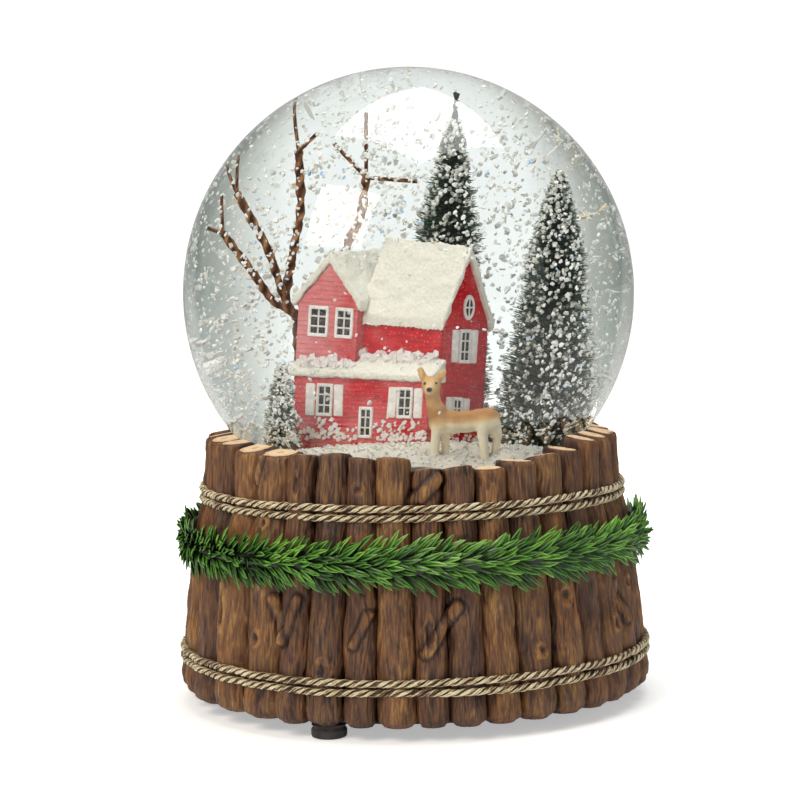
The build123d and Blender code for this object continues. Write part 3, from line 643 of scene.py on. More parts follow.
def barkMark(azimuth, z, radius):
    # how far a knot lifts or sinks the bark here, and how dark or light it leaves it
    lift, shade = 0.0, 0.0
    for kind, markAzimuth, markZ, halfWidth, halfHeight in barkMarks:
        across = math.radians(angleGap(azimuth, markAzimuth)) * radius
        along = z - markZ
        if abs(across) > halfWidth * 2.4 or abs(along) > halfHeight * 2.4:
            continue
        reach = math.hypot(across / halfWidth, along / halfHeight)
        reach += 0.34 * noise.noise(Vector((across * 0.8, along * 0.8, markAzimuth)))
        collar = math.exp(-((reach - 1.0) / 0.30) ** 2)
        hollow = math.exp(-(reach / 0.62) ** 4)
        if kind == "knot":
            lift += 0.55 * collar - 0.42 * hollow
            shade += 0.20 * collar - 0.38 * hollow
            shade += 0.16 * math.cos(reach * 10) * math.exp(-reach * reach / 1.6)   # rings round the knot
        else:
            lift += 0.55 * collar - 0.35 * hollow
            shade += 0.22 * collar - 0.15 * hollow - 0.30 * math.exp(-((reach - 0.62) / 0.16) ** 2)
    for (azimuth0, z0), (azimuth1, z1), halfWidth in barkBranches:
        if not min(z0, z1) - 4 < z < max(z0, z1) + 4 or abs(angleGap(azimuth, azimuth0)) > 14:
            continue
        spot = Vector((math.radians(angleGap(azimuth, azimuth0)) * radius, z - z0))
        run = Vector((math.radians(azimuth1 - azimuth0) * radius, z1 - z0))
        share = clamp(spot.dot(run) / run.dot(run))
        gap = (spot - run * share).length / halfWidth
        gap += 0.30 * noise.noise(Vector((spot.x * 0.7, spot.y * 0.5, z0)))
        lift += 0.85 * math.exp(-max(gap, 0.0) ** 3) - 0.35 * math.exp(-((gap - 1.5) / 0.35) ** 2)
        shade += 0.18 * math.exp(-max(gap, 0.0) ** 3) - 0.45 * math.exp(-((gap - 1.45) / 0.35) ** 2)
    return lift, shade


def logSpans():
    edges = list(logs["edges"])
    step = (360 - (edges[-1] - edges[0])) / logs["backLogs"]
    edges += [edges[-1] + step * i for i in range(1, logs["backLogs"] + 1)]
    return list(zip(edges[:-1], edges[1:]))


def barkSurface(u, w, z, seed, azimuth, radius, out):
    # how far the bark stands out here, and its tone from dark groove to dry-brushed ridge
    bend = 0.8 * noise.noise(Vector((u * 0.22, z * 0.10, seed)))
    fibre = noise.noise(Vector(((u + bend) / logs["fibreWidth"], w, z / logs["fibreLength"])))
    coarse = noise.noise(Vector(((u + bend) / 1.9, w * 0.6 + 9, z / 15.0)))
    crack = smoothStep(0.36, 0.6, noise.noise(Vector((u / 2.6, w + 30, z / 3.2))))
    lump = noise.noise(Vector((u / logs["lumpSize"], w * 0.3 + 70, z / 8.0)))
    lift, shade = barkMark(azimuth, z, radius)
    ridge = 0.55 - 1.5 * abs(fibre)
    push = logs["fibreDeep"] * (0.75 * ridge + 0.7 * coarse) + logs["lumpDeep"] * lump
    push += lift * smoothStep(-0.1, 0.5, out) - 0.22 * crack
    level = 0.45 + 0.42 * ridge + 0.18 * coarse + 0.12 * lump + shade - 0.16 * crack
    # painted shade: each log is darkened down its sides, where it turns into the gaps between logs
    return push, level - 0.40 * (1 - smoothStep(0.05, 0.70, out))   # darker down in the gaps


def makeLogs():
    bark = makeBark()
    ends = newBuild()
    endRing = []
    rng = random.Random(11)
    rows, bottom = logs["rows"], logs["bottom"]
    front, back, reach = logs["frontColumns"], logs["backColumns"], logs["frontReach"]
    turns = [math.radians(-reach + 2 * reach * c / front) for c in range(front)]
    turns += [math.radians(reach + (360 - 2 * reach) * c / back) for c in range(back)]
    for number, (low, high) in enumerate(logSpans(), 1):
        middle = (low + high) / 2
        halfAngle = math.radians(high - low) / 2
        top = alongTable(logs["tops"], angleGap(middle, 0)) + rng.uniform(-0.35, 0.35)
        slope = rng.uniform(0.08, 0.26)   # the saw cut's fall towards the outside
        if number in logs["barkTops"]:
            slope = -0.22
        elif number in logs["levelTops"]:
            slope = -0.02
        skew = rng.uniform(-0.10, 0.10)
        lean = rng.uniform(-0.4, 0.4)
        swell = rng.uniform(0.0, 0.45)
        seed = rng.uniform(0, 400)
        # each log's tone varies at random, and logs round to the right are darker as painted shade away from
        # the key light
        toneAndSideShade = rng.uniform(-0.10, 0.10) - 0.06 * smoothStep(20, 70, angleGap(middle, 0))
        warmth = rng.uniform(0.0, 0.10)
        points, relief, tint = [], [], []
        for row in range(rows + 1):
            share = row / rows
            z = bottom + (top - bottom) * share
            radius = ringRadius(z)
            half = radius * halfAngle * 1.035   # a little over, so neighbours meet
            # rounded foot and a slightly softened rim at the cut
            close = 1.0 - 0.30 * (1 - smoothStep(0, 2.2, z - bottom)) ** 2
            close -= 0.07 * smoothStep(1.0, 0.0, (top - z))
            width = half * close
            depth = (half * logs["depth"] + 0.9) * close
            centre = radius - half * logs["depth"] - 0.9 + swell * math.sin(z * 0.11 + seed)
            wander = math.radians(middle) + math.radians(lean) * math.sin(z * 0.07 + seed)
            for around in turns:
                side, out = math.sin(around), math.cos(around)
                # flatter sides than a true circle, so neighbours close up
                out = math.copysign(abs(out) ** 0.86, out)
                across = width * side
                deep = depth * out
                zHere = z
                if row > rows * 0.6:
                    zHere += share * (slope * -deep + skew * across) * smoothStep(0.6, 1.0, share)
                # the hidden back of each log keeps a dark tone, as painted shade between the logs
                push, level, warm = 0.0, 0.08, 0.0
                if out > -0.35:
                    azimuth = math.degrees(wander) + math.degrees(across / radius)
                    push, level = barkSurface(across + seed, deep * 0.5, zHere, seed, azimuth, radius, out)
                    # painted shade: darker at the rounded foot of each log
                    level += toneAndSideShade - 0.10 * (1 - smoothStep(0, 3.0, z - bottom))
                    patch = noise.noise(Vector((azimuth * 0.06, zHere * 0.07, 5.0)))
                    warm = warmth + 0.35 * smoothStep(0.25, 0.6, patch) * smoothStep(0.4, 0.7, level)
                across *= 1 + push / max(depth, 1.0)
                deep += push * max(out, 0.0)
                points.append(polar(centre + deep, wander + across / radius, zHere))
                relief.append(clamp(level))
                tint.append(warm)
        build = {"points": points, "faces": cappedFaces(rows + 1, len(turns))}
        makePiece("log_%02d" % number, build, [bark], "globe", (),
                  {"relief": relief, "tint": tint})
        addLogEnd(ends, endRing, points[-len(turns):], rng)
    makePiece("log_ends", ends, [makeCutWood()], "globe", (), {"ring": endRing})


def addLogEnd(build, endRing, rim, rng):
    # a domed disc a little inside the bark, with its heart off centre
    centre = sum((Vector(p) for p in rim), Vector()) / len(rim)
    heart = centre + Vector((rng.uniform(-0.7, 0.7), rng.uniform(-0.7, 0.7), 0))
    points = []
    rings = [0.86, 0.85, 0.78, 0.62, 0.45, 0.25, 0.1]   # shares of the rim, from its edge inwards
    raised = [-0.5, 0.10, 0.24, 0.30, 0.32, 0.33, 0.33]
    for share, up in zip(rings, raised):
        for p in rim:
            middle = centre + (heart - centre) * (1 - share)
            spot = middle + (Vector(p) - middle) * share
            wave = 0.06 * noise.noise(spot * 1.6)
            points.append((spot.x, spot.y, spot.z + up + wave))
            endRing.append(share / rings[0])
    addShape(build, points, cappedFaces(len(rings), len(rim)))


# ---- the moulded core behind the logs: foot ring, recess, and the socket that holds the ball

core = {
    "inset": 6.4,
    "columns": 160,
    # (radius, height): from the underside's recess to its outer edge, a little above the feet of the logs
    "underside": [(50.2, 14.0), (50.2, 4.7), (51.0, 3.9), (57.0, 3.9), (58.6, 4.4)],
    # down the socket that holds the ball, across the deck, and down the inside of the recess
    "socket": [(47.6, 64.0), (43.4, 63.6), (43.2, 61.0), (44.0, 55.0), (44.0, 48.6), (30.0, 48.6),
               (30.0, 51.0), (20.0, 51.4), (0.6, 51.4), (0.6, 45.0), (45.0, 44.8), (46.0, 40.0),
               (46.0, 16.0), (49.4, 14.0)],
    "roughBeyond": 51,   # the radius past which the casting is uneven
}


def makeCore():
    # cast resin, dark brown, made near black as painted shade where it shows between the logs
    resin = mottledFinish("cast resin dark brown", "#2B1C12", 0.6, [(2.5, 6.0, 1.0)],
                          [(0.3, "#1C120B"), (0.7, "#3E2A1B")], bump=(2.5, 6.0, 0.35, 0.8))
    columns = core["columns"]
    outer = [(ringRadius(z) - core["inset"], z) for z in range(6, 66, 4)]
    section = list(reversed(core["underside"] + outer + core["socket"]))
    points = []
    for radius, z in section:
        for c in range(columns):
            azimuth = 2 * math.pi * c / columns
            wobble = 0.35 * roundNoise(azimuth, 9, z * 0.3) if radius > core["roughBeyond"] else 0.0
            points.append(polar(radius + wobble, azimuth, z))
    build = {"points": points, "faces": loopFaces(len(section), columns)}
    makePiece("base_core", build, [resin], "globe", ("log_base_shell",))


makeLogs()
makeCore()
print("logs and core made")


# ---- ropes and garland

def logOutline(azimuth, z):
    # how far out the bark stands at this bearing, in millimetres
    degrees = math.degrees(azimuth)
    radius = ringRadius(z)
    for low, high in spans:
        middle = (low + high) / 2
        gap = angleGap(degrees, middle)
        if abs(gap) <= (high - low) / 2 + 1e-6:
            t = gap / ((high - low) / 2)
            half = radius * math.radians(high - low) / 2
            return radius - half * logs["depth"] * (1 - math.sqrt(max(1 - t * t * 0.96, 0.0)))
    return radius


spans = logSpans()

ropes = {
    "strand": 0.47,      # radius of one of the three strands
    "twist": 0.46,       # how far each strand lies from the rope's middle
    "lay": 8.8,          # millimetres for one full turn of the strands
    "sides": 12,
    "stepLength": 0.36,
    "pairs": [(("rope_lower_1", "rope_lower_2"), 13.8, 63.0), (("rope_upper_1", "rope_upper_2"), 56.0, 56.9)],
}


def makeRopes():
    # cotton cord, cream with a brown wash left in the twists
    finish = mottledFinish(
        "washed cotton cord", "#B9A688", 0.85, [(0.5, 5.0, 0.5), (5.0, 3.0, 0.5)],
        [(0.14, "#32221A"), (0.40, "#6F5840"), (0.60, "#BFA97F"), (0.84, "#E6DAB8")], "relief",
        (0.5, 5.0, 0.10, 0.6), Sheen_Weight=0.15)
    rng = random.Random(5)
    for names, z, radius in ropes["pairs"]:
        for index, name in enumerate(names):
            count = int(2 * math.pi * radius / ropes["stepLength"])
            seed = rng.uniform(0, 200)
            sign = 1 if index else -1
            path = []
            for step in range(count):
                azimuth = 2 * math.pi * step / count
                # the cord bridges the gaps between logs, so it follows an averaged outline
                outline = [logOutline(azimuth + math.radians(d), z) for d in (-3.2, -1.6, 0, 1.6, 3.2)]
                reach = 0.55 * max(outline) + 0.45 * sum(outline) / len(outline) + 0.62
                circle = Vector((math.sin(azimuth) * 3, math.cos(azimuth) * 3, seed))
                drift = 0.30 * noise.noise(circle) + 0.10 * noise.noise(circle * 3)
                path.append(Vector(polar(reach, azimuth, z + sign * (1.22 + drift))))
            turns = round(2 * math.pi * radius / ropes["lay"])
            lead = turns * ropes["twist"] / radius
            thick = ropes["twist"] + ropes["strand"]
            up = Vector((0, 0, 1))
            build = newBuild()
            relief = []
            for strand in range(3):
                points = []
                for step in range(count):
                    azimuth = 2 * math.pi * step / count
                    outward = Vector((math.sin(azimuth), -math.cos(azimuth), 0))
                    slack = 0.55 * roundNoise(azimuth, 8, seed + 9)
                    angle = 2 * math.pi * (turns * step / count + strand / 3) + slack
                    side = math.cos(angle) * outward + math.sin(angle) * up
                    middle = path[step] + ropes["twist"] * side
                    along = Vector((math.cos(azimuth), math.sin(azimuth), 0))
                    ahead = (along + lead * (-math.sin(angle) * outward + math.cos(angle) * up)).normalized()
                    side = (side - ahead * side.dot(ahead)).normalized()
                    other = ahead.cross(side)
                    worn = roundNoise(azimuth, 14, seed + 50)
                    for corner in range(ropes["sides"]):
                        turn = 2 * math.pi * corner / ropes["sides"]
                        yarn = 0.06 * math.cos(4 * (turn + step * 0.35 * ropes["stepLength"]))
                        fray = 0.13 * noise.noise(Vector((step * 0.30, corner * 0.9, seed + strand * 40)))
                        reach = ropes["strand"] + yarn + fray
                        spot = middle + reach * (math.cos(turn) * side + math.sin(turn) * other)
                        points.append(tuple(spot))
                        # pale on the crown of a strand, dark in the twist
                        depth = (spot - path[step]).length / thick
                        facing = (spot - path[step]).dot(outward) / thick
                        level = smoothStep(0.66, 1.0, depth) * 0.66 + 0.30 * worn + yarn * 2.8 + fray * 1.6
                        # painted light: a little lighter on the side that faces out from the ring
                        level += 0.12 * facing
                        relief.append(clamp(level))
                addShape(build, points, loopFaces(count, ropes["sides"]))
            makePiece(name + "_cord", build, [finish], "globe", (name,), {"relief": relief})


garlandLow, garlandHigh = nodeBox("pine_garland")
garland = {
    "middle": (garlandLow.z + garlandHigh.z) / 2,
    "radius": 59.7,
    "reach": 4.9,           # how far a tip may stand out past that
    "leaves": 1300,
    "rows": 5,              # down the sprig, from its top edge to its bottom edge
    "length": (5.0, 8.2),
    "width": (1.0, 1.65),
    # a leaf's half width from root to tip, as shares
    "leaf": [(0.0, 0.35), (0.15, 0.78), (0.38, 1.0), (0.62, 0.9), (0.82, 0.55), (0.94, 0.24), (1.0, 0.03)],
    # paint caught on the two raised edges, dark down the middle
    "leafTones": (-0.26, 0.24, 0.14, -0.35, 0.14, 0.24),
    "stem": (1.5, 3.6),     # half its thickness, out and up
    "stemColumns": 420,
    "stemSides": 12,
}


def addLeaf(build, relief, root, tip, normal, width, curl, light, sway):
    # a pointed needle, hollow along the top between two raised edges
    ahead = tip - root
    length = ahead.length
    ahead.normalize()
    normal = (normal - ahead * normal.dot(ahead)).normalized()
    side = ahead.cross(normal)
    points = []
    for share, wide in garland["leaf"]:
        middle = root + ahead * (length * share) + normal * (curl * math.sin(share * 2.6))
        half = wide * width / 2
        middle += side * (0.45 * sway * math.sin(share * 3.6))
        points.append(tuple(middle + normal * 0.10 * wide))
        points.append(tuple(middle + side * half * 0.72 + normal * 0.36 * wide))
        points.append(tuple(middle + side * half + normal * 0.05))
        points.append(tuple(middle - normal * 0.42 * wide))
        points.append(tuple(middle - side * half + normal * 0.05))
        points.append(tuple(middle - side * half * 0.72 + normal * 0.36 * wide))
        for rise in garland["leafTones"]:
            # painted shade: each needle darker at its root down in the sprig, lighter toward its tip
            relief.append(clamp(light * (0.44 + 0.40 * share) + rise))
    addShape(build, points, cappedFaces(len(garland["leaf"]), 6))


def makeGarland():
    # moulded resin needles: glossy green, with painted shade nearly black down in the sprig
    finish = mottledFinish(
        "glossy painted resin needles", "#2F5A22", 0.34, [(1.4, 3.0, 0.4)],
        [(0.10, "#0B0F08"), (0.32, "#1A2E11"), (0.54, "#356320"), (0.76, "#5E9A30"), (1.0, "#98C855")],
        "relief", (1.4, 3.0, 0.10, 0.4))
    rng = random.Random(21)
    build = newBuild()
    relief = []
    # a lumpy stem for the needles to grow from, kept nearly black as painted shade under them
    count, sides = garland["stemColumns"], garland["stemSides"]
    thick, tall = garland["stem"]
    points = []
    for step in range(count):
        azimuth = 2 * math.pi * step / count
        circle = Vector((math.sin(azimuth) * 12, math.cos(azimuth) * 12, 3.0))
        z = garland["middle"] + 0.6 * noise.noise(circle * 0.5)
        for corner in range(sides):
            turn = 2 * math.pi * corner / sides
            lump = 1 + 0.22 * noise.noise(circle * 2 + Vector((turn, 0, 0)))
            points.append(polar(garland["radius"] + thick * lump * math.cos(turn), azimuth,
                                z + tall * lump * math.sin(turn)))
            relief.append(0.12)
    addShape(build, points, loopFaces(count, sides))
    leaves = garland["leaves"]
    for leaf in range(leaves):
        azimuth = 2 * math.pi * (leaf + rng.uniform(-0.4, 0.4)) / leaves
        # -1 at the sprig's lower edge, 1 at its upper edge
        spread = 2 * (leaf % garland["rows"]) / (garland["rows"] - 1) - 1 + rng.uniform(-0.16, 0.16)
        outward = Vector((math.sin(azimuth), -math.cos(azimuth), 0))
        along = Vector((math.cos(azimuth), math.sin(azimuth), 0))
        bunch = roundNoise(azimuth, 9, 8)
        middle = garland["middle"] + 0.5 * bunch
        root = outward * (garland["radius"] + 1.2 - 0.9 * abs(spread)) + Vector((0, 0, middle + spread * 2.2))
        length = rng.uniform(*garland["length"]) * (1.0 if abs(spread) > 0.4 else 0.9)
        climb = spread * rng.uniform(0.55, 1.05) + rng.uniform(-0.22, 0.22) + 0.3 * bunch
        lift = rng.uniform(0.10, 0.50) * (1.15 - 0.5 * abs(spread))
        # every needle sweeps to the right as it leaves the stem
        ahead = (along * rng.uniform(0.75, 1.05) + Vector((0, 0, climb)) + outward * lift).normalized()
        tip = root + ahead * length
        limit = garland["radius"] + garland["reach"]
        flat = Vector((tip.x, tip.y, 0))
        if flat.length > limit:
            tip -= flat.normalized() * (flat.length - limit)
        normal = (outward + Vector((rng.uniform(-0.3, 0.3), 0, 0.35 * spread + 0.25))).normalized()
        # each needle's tone varies at random and along the garland, and needles in the upper rows are lighter
        # as painted light from above
        light = rng.uniform(0.50, 1.0) * (1.0 + 0.15 * spread) * (1.0 + 0.35 * bunch)
        width = rng.uniform(*garland["width"])
        addLeaf(build, relief, root, tip, normal, width, rng.uniform(0.1, 0.8), light, rng.uniform(-1, 1))
    makePiece("garland_needles", build, [finish], "globe",
              ("pine_garland",), {"relief": relief})


makeRopes()
makeGarland()
print("ropes and garland made")


# ---- rubber feet

feet = {
    "names": ("rubber_foot_front_left", "rubber_foot_right", "rubber_foot_back"),
    "columns": 64,
    # from the foot's hollow up to its shoulder: (in from the rim, height), then (in, down from the top)
    "lower": [(0.7, 0.0), (0.2, 0.2), (0.0, 0.7)],
    "upper": [(0.0, 1.6), (0.12, 1.3), (0.45, 1.1), (0.45, 0.6), (0.1, 0.35), (0.1, 0.0)],
}


def makeFeet():
    # moulded rubber, matt with a faint grain and dusty scuffs
    rubber = mottledFinish("moulded rubber", "#232122", 0.72, [(3.0, 4.0, 1.0)],
                           [(0.35, "#282627"), (0.75, "#4B4745")], bump=(0.5, 5.0, 0.08, 0.6))
    for name in feet["names"]:
        low, high = nodeBox(name)
        middle = (low + high) / 2
        radius = (high.x - low.x) / 2
        section = [(0.9, 0.5), (1.5, 0.0)] + [(radius - inside, z) for inside, z in feet["lower"]]
        section += [(radius - inside, high.z - down) for inside, down in feet["upper"]]
        points = []
        for reach, z in section:
            for c in range(feet["columns"]):
                angle = 2 * math.pi * c / feet["columns"]
                points.append((middle.x + reach * math.cos(angle), middle.y + reach * math.sin(angle), z))
        build = {"points": points, "faces": cappedFaces(len(section), feet["columns"])}
        makePiece(name + "_pad", build, [rubber], "globe", (name,))


makeFeet()
print("feet made")


# ---- the house

# Walls are set out in the house's own frame: u along the front to the right, w back, v up.
house = {
    "turn": 33.5,        # degrees the front is turned to face left
    "fallRight": 4.0,    # degrees the floor falls to the right
    "fallBack": 1.7,
    "sunk": -3.5,        # how far the walls run down into the snow
    "main": (-19.25, 0.0, 0.0, 16.0, 25.5, 39.3),        # left, right, front, back, eave, ridge
    "wing": (-33.15, -19.25, -2.5, 16.0, 27.8, 36.1),
    "porch": (-32.0, 0.8, -4.5, 0.0, 13.0, 17.2),
    "course": 0.92,      # height of one board
    "boardProud": 0.12,
    "boardColumns": 44,
    "wingWindows": [(-30.6, -26.0, 21.2, 27.2), (-24.4, -20.2, 21.2, 27.2)],
    "porchWindows": [(-26.7, -22.9, 5.0, 11.6), (-7.1, -3.2, 5.0, 11.6)],
    "gableWindows": [(6.2, 10.0, 17.5, 24.3), (4.9, 8.4, 3.4, 10.2)],
    "door": (-16.4, -13.0, 0.5, 7.1),
    "shutterWidth": 2.15,
    "oval": (8.9, 28.9, 1.9),
}


def houseFrame():
    turn = math.radians(house["turn"])
    right = Vector((math.cos(turn), -math.sin(turn), -math.sin(math.radians(house["fallRight"]))))
    back = Vector((math.sin(turn), math.cos(turn), -math.sin(math.radians(house["fallBack"]))))
    right.normalize()
    up = right.cross(back).normalized()
    back = up.cross(right)
    # the corner is found from the CAD door, whose place in the house is known
    left, doorRight, bottom, top = house["door"]
    middle = Vector(((left + doorRight) / 2, house["porch"][2] - 0.175, (bottom + top) / 2))
    low, high = nodeBox("house_door")
    corner = (low + high) / 2 - (right * middle.x + back * middle.y + up * middle.z)
    return corner, right, back, up


houseCorner, houseRight, houseBack, houseUp = houseFrame()
print("house corner", [round(v, 2) for v in houseCorner])


def atHouse(u, w, v):
    return tuple(houseCorner + houseRight * u + houseBack * w + houseUp * v)


def makeHousePaint():
    # brushed enamel red: semi-gloss, paler where the brush ran dry, with glitter dust caught on it, and a
    # pale pink painted sheen laid on the wing's walls that face the key light
    material, tree, shader = newMaterial("brushed red enamel", "#C81E2E", 0.42, IOR=inWater)
    place = addNode(tree, "TexCoord").outputs["Object"]
    frost = addNode(tree, "Attribute", {"attribute_name": "frost"})
    brush = addNode(tree, "Mapping", {"Scale": (0.35, 0.35, 1.0)}, {"Vector": place})
    streak = addNode(tree, "TexNoise", {"Scale": perMm(0.8), "Detail": 4.0},
                     {"Vector": brush.outputs["Vector"]})
    cloud = addNode(tree, "TexNoise", {"Scale": perMm(6.0), "Detail": 3.0}, {"Vector": place})
    colour = addNode(tree, "ValToRGB", {"stops": [(0.25, "#A50413"), (0.55, "#D00A1C"), (0.85, "#E01E2C")]},
                     {0: streak.outputs["Fac"]})
    dusting = addNode(tree, "Math", {"operation": "MULTIPLY_ADD", 1: 0.5, 2: -0.25},
                      {0: cloud.outputs["Fac"]})
    amount = addNode(tree, "Math", {"operation": "ADD", "use_clamp": True},
                     {0: frost.outputs["Fac"], 1: dusting.outputs[0]})
    # pale pink: glitter frost, and the painted sheen laid on the wing's walls
    frostedAndSheened = addNode(tree, "Mix", {"data_type": "RGBA", 7: toLinear("#F0C4C6")},
                      {"Factor": amount.outputs[0], 6: colour.outputs["Color"]})
    grit = addNode(tree, "TexVoronoi", {"Scale": perMm(0.7)}, {"Vector": place})
    spark = addNode(tree, "Math", {"operation": "LESS_THAN", 1: 0.16}, {0: grit.outputs["Distance"]})
    sparse = addNode(tree, "Math", {"operation": "MULTIPLY", 1: 0.55}, {0: spark.outputs[0]})
    sparkled = addNode(tree, "Mix", {"data_type": "RGBA", 7: toLinear("#F6D9D6")},
                       {"Factor": sparse.outputs[0], 6: frostedAndSheened.outputs[2]})
    tree.links.new(sparkled.outputs[2], shader.inputs["Base Color"])
    addNode(tree, "Bump", {"Strength": 0.7, "Distance": 0.10 * mm}, {"Height": streak.outputs["Fac"]},
            {"Normal": shader.inputs["Normal"]})
    return material


def addBox(build, place, low, high, soften):
    # a block with its front edges and corners rounded
    (x0, y0, z0), (x1, y1, z1) = low, high
    points = []
    layers = [(y1, 0.0), (y0 + soften, 0.0), (y0 + soften * 0.3, soften * 0.3), (y0, soften)]
    for y, inset in layers:
        a, b, c, d = x0 + inset, x1 - inset, z0 + inset, z1 - inset
        cut = soften * 0.7
        for x, z in ((a + cut, c), (b - cut, c), (b, c + cut), (b, d - cut), (b - cut, d), (a + cut, d),
                     (a, d - cut), (a, c + cut)):
            points.append(place(x, y, z))
    addShape(build, points, cappedFaces(len(layers), 8))


def boardWall(build, frost, place, spanAt, low, high, frostAndSheenAt):
    # courses of lapped boards: each leans out to its lower edge, and casts a thin line of shade
    v = low
    course = house["course"]
    columns = house["boardColumns"]
    while v < high - 0.02:
        top = min(v + course, high)
        rows = [(v + 0.00, -0.02), (v + 0.04, 1.0), (v + 0.16, 1.05), (top - 0.10, 0.18), (top, -0.02)]
        points = []
        for height, proud in rows:
            left, right = spanAt(height)
            for c in range(columns):
                u = left + (right - left) * c / (columns - 1)
                waver = 0.05 * noise.noise(Vector((u * 0.9, height * 2.2, 2.0)))
                rough = 0.04 * noise.noise(Vector((u * 3, height * 5, 7.0)))
                out = house["boardProud"] * proud + waver + rough
                points.append(place(u, -out, height + 0.5 * waver))
                frost.append(clamp(frostAndSheenAt(u, height)))
        addShape(build, points, gridFaces(len(rows), columns, False))
        v = top


def makeWindow(trim, panes, place, opening):
    # charcoal panes behind a frame and glazing bars, two panes across and three down
    across, down = 2, 3
    left, right, bottom, top = opening
    frameWidth, bar, proud = 0.60, 0.34, 0.60
    addBox(panes, place, (left + 0.2, -0.30, bottom + 0.2), (right - 0.2, 0.3, top - 0.2), 0.05)
    for x0, x1, z0, z1 in ((left, left + frameWidth, bottom, top), (right - frameWidth, right, bottom, top),
                           (left, right, bottom - 0.1, bottom + frameWidth),
                           (left, right, top - frameWidth, top + 0.1)):
        addBox(trim, place, (x0, -proud, z0), (x1, 0.3, z1), 0.18)
    for i in range(1, across):
        x = left + (right - left) * i / across
        addBox(trim, place, (x - bar / 2, -proud + 0.10, bottom + 0.3), (x + bar / 2, 0.3, top - 0.3), 0.12)
    for i in range(1, down):
        z = bottom + (top - bottom) * i / down
        addBox(trim, place, (left + 0.3, -proud + 0.10, z - bar / 2), (right - 0.3, 0.3, z + bar / 2), 0.12)


def makeShutter(trim, place, left, right, bottom, top):
    # a plain softened board with two shallow panels, leaning a little as if hand-set
    lean = 0.25 * math.sin(left * 3.1)

    def leaning(u, out, v):
        return place(u + lean * (v - bottom) / (top - bottom), out, v)

    addBox(trim, leaning, (left, -0.46, bottom), (right, 0.3, top), 0.26)
    middle = (bottom + top) / 2
    for low, high in ((bottom + 0.45, middle - 0.2), (middle + 0.2, top - 0.45)):
        addBox(trim, leaning, (left + 0.42, -0.53, low), (right - 0.42, -0.4, high), 0.10)


def wallPlace(side, at):
    # a wall's own frame: along it, out from it (negative is proud) and up
    def place(along, out, v):
        if side == "front":
            return atHouse(along, at + out, v)
        if side == "back":
            return atHouse(along, at - out, v)
        return atHouse(at - out if side == "right" else at + out, along, v)
    return place


def wallSpan(near, far, eave=None, ridge=None):
    # the ends of a course at a height: upright walls, or drawing in to a ridge above the eave
    def span(v):
        share = 0.0 if eave is None else min(max((v - eave) / (ridge - eave), 0.0), 0.985)
        half = (far - near) / 2 * share
        return near + half, far - half
    return span


def noFrost(u, v):
    return 0.0


def lowFrost(u, v):
    return 0.10 + 0.30 * smoothStep(5.0, 0.0, v) * (0.5 + noise.noise(Vector((u * 0.8, v, 1))))


# glitter frost on the wing's walls, laid on thicker toward the wing's left end as a pale pink painted sheen
def wingSheenAndFrost(u, v):
    return 0.42 - 0.22 * smoothStep(-27, -19.5, u) + 0.10 * noise.noise(Vector((u * 0.5, v, 4)))


def makeHouse():
    # thick white paint over moulded trim, faintly mottled
    white = mottledFinish("thick white trim paint", "#E9E6E2", 0.5, [(1.1, 3.0, 1.0)],
                          [(0.3, "#E4E0DC"), (0.7, "#FBF8F5")], bump=(1.1, 3.0, 0.12, 0.6), IOR=inWater)
    # panes painted charcoal, with pale flecks here and there
    pane = mottledFinish("charcoal pane paint", "#3A3838", 0.3, [(0.6, 3.0, 1.0)],
                         [(0.45, "#2C2B2C"), (0.62, "#55514F"), (0.75, "#A9A5A3")], IOR=inWater)
    left, right, front, back, eave, ridge = house["main"]
    wingLeft, wingRight, wingFront, wingBack, wingEave, wingRidge = house["wing"]
    porchLeft, porchRight, porchFront, porchBack, porchEave = house["porch"][:5]
    sunk, beside = house["sunk"], porchEave + 0.8
    wingGable = wallSpan(wingLeft, wingRight, wingEave, wingRidge)
    walls = newBuild()
    frost = []
    for side, at, span, low, high, frostAndSheenAt in (
            ("front", front, wallSpan(left, right), porchEave, eave, noFrost),
            ("back", back, wallSpan(wingLeft, right), sunk, eave, lowFrost),
            ("right", right, wallSpan(front, back, eave, ridge), sunk, ridge, noFrost),
            ("left", wingLeft, wallSpan(wingFront, wingBack), sunk, wingEave, lowFrost),
            ("front", wingFront, wingGable, porchEave, wingRidge, wingSheenAndFrost),
            ("right", wingRight, wallSpan(wingFront, front), porchEave, wingEave, wingSheenAndFrost),
            ("back", wingBack + 0.01, wingGable, eave, wingRidge, noFrost),
            ("front", porchFront, wallSpan(porchLeft, porchRight), sunk, porchEave, lowFrost),
            ("right", porchRight, wallSpan(porchFront, porchBack), sunk, beside, lowFrost),
            ("left", porchLeft, wallSpan(porchFront, porchBack), sunk, beside, lowFrost)):
        boardWall(walls, frost, wallPlace(side, at), span, low, high, frostAndSheenAt)
    makePiece("house_walls", walls, [makeHousePaint()], "globe", ("house_body",),
              {"frost": frost})

    trim, panes, shutters, door = newBuild(), newBuild(), newBuild(), newBuild()
    porchWall, gableWall = wallPlace("front", porchFront), wallPlace("right", right)
    for opening in house["wingWindows"]:
        makeWindow(trim, panes, wallPlace("front", wingFront), opening)
    for wall, openings, gap in ((porchWall, house["porchWindows"], 0.35),
                                (gableWall, house["gableWindows"], 0.2)):
        for opening in openings:
            makeWindow(trim, panes, wall, opening)
            for edge in (opening[0] - house["shutterWidth"] - gap, opening[1] + max(gap, 0.3)):
                makeShutter(shutters, wall, edge, edge + house["shutterWidth"], opening[2], opening[3])
    makeWindow(door, panes, porchWall, house["door"])
    addOval(trim, panes, gableWall)
    makePiece("window_frames", trim, [white], "globe", ("house_windows",))
    makePiece("window_panes", panes, [pane], "globe")
    makePiece("shutters", shutters, [white], "globe", ("house_shutters",))
    makePiece("front_door", door, [white], "globe", ("house_door",))


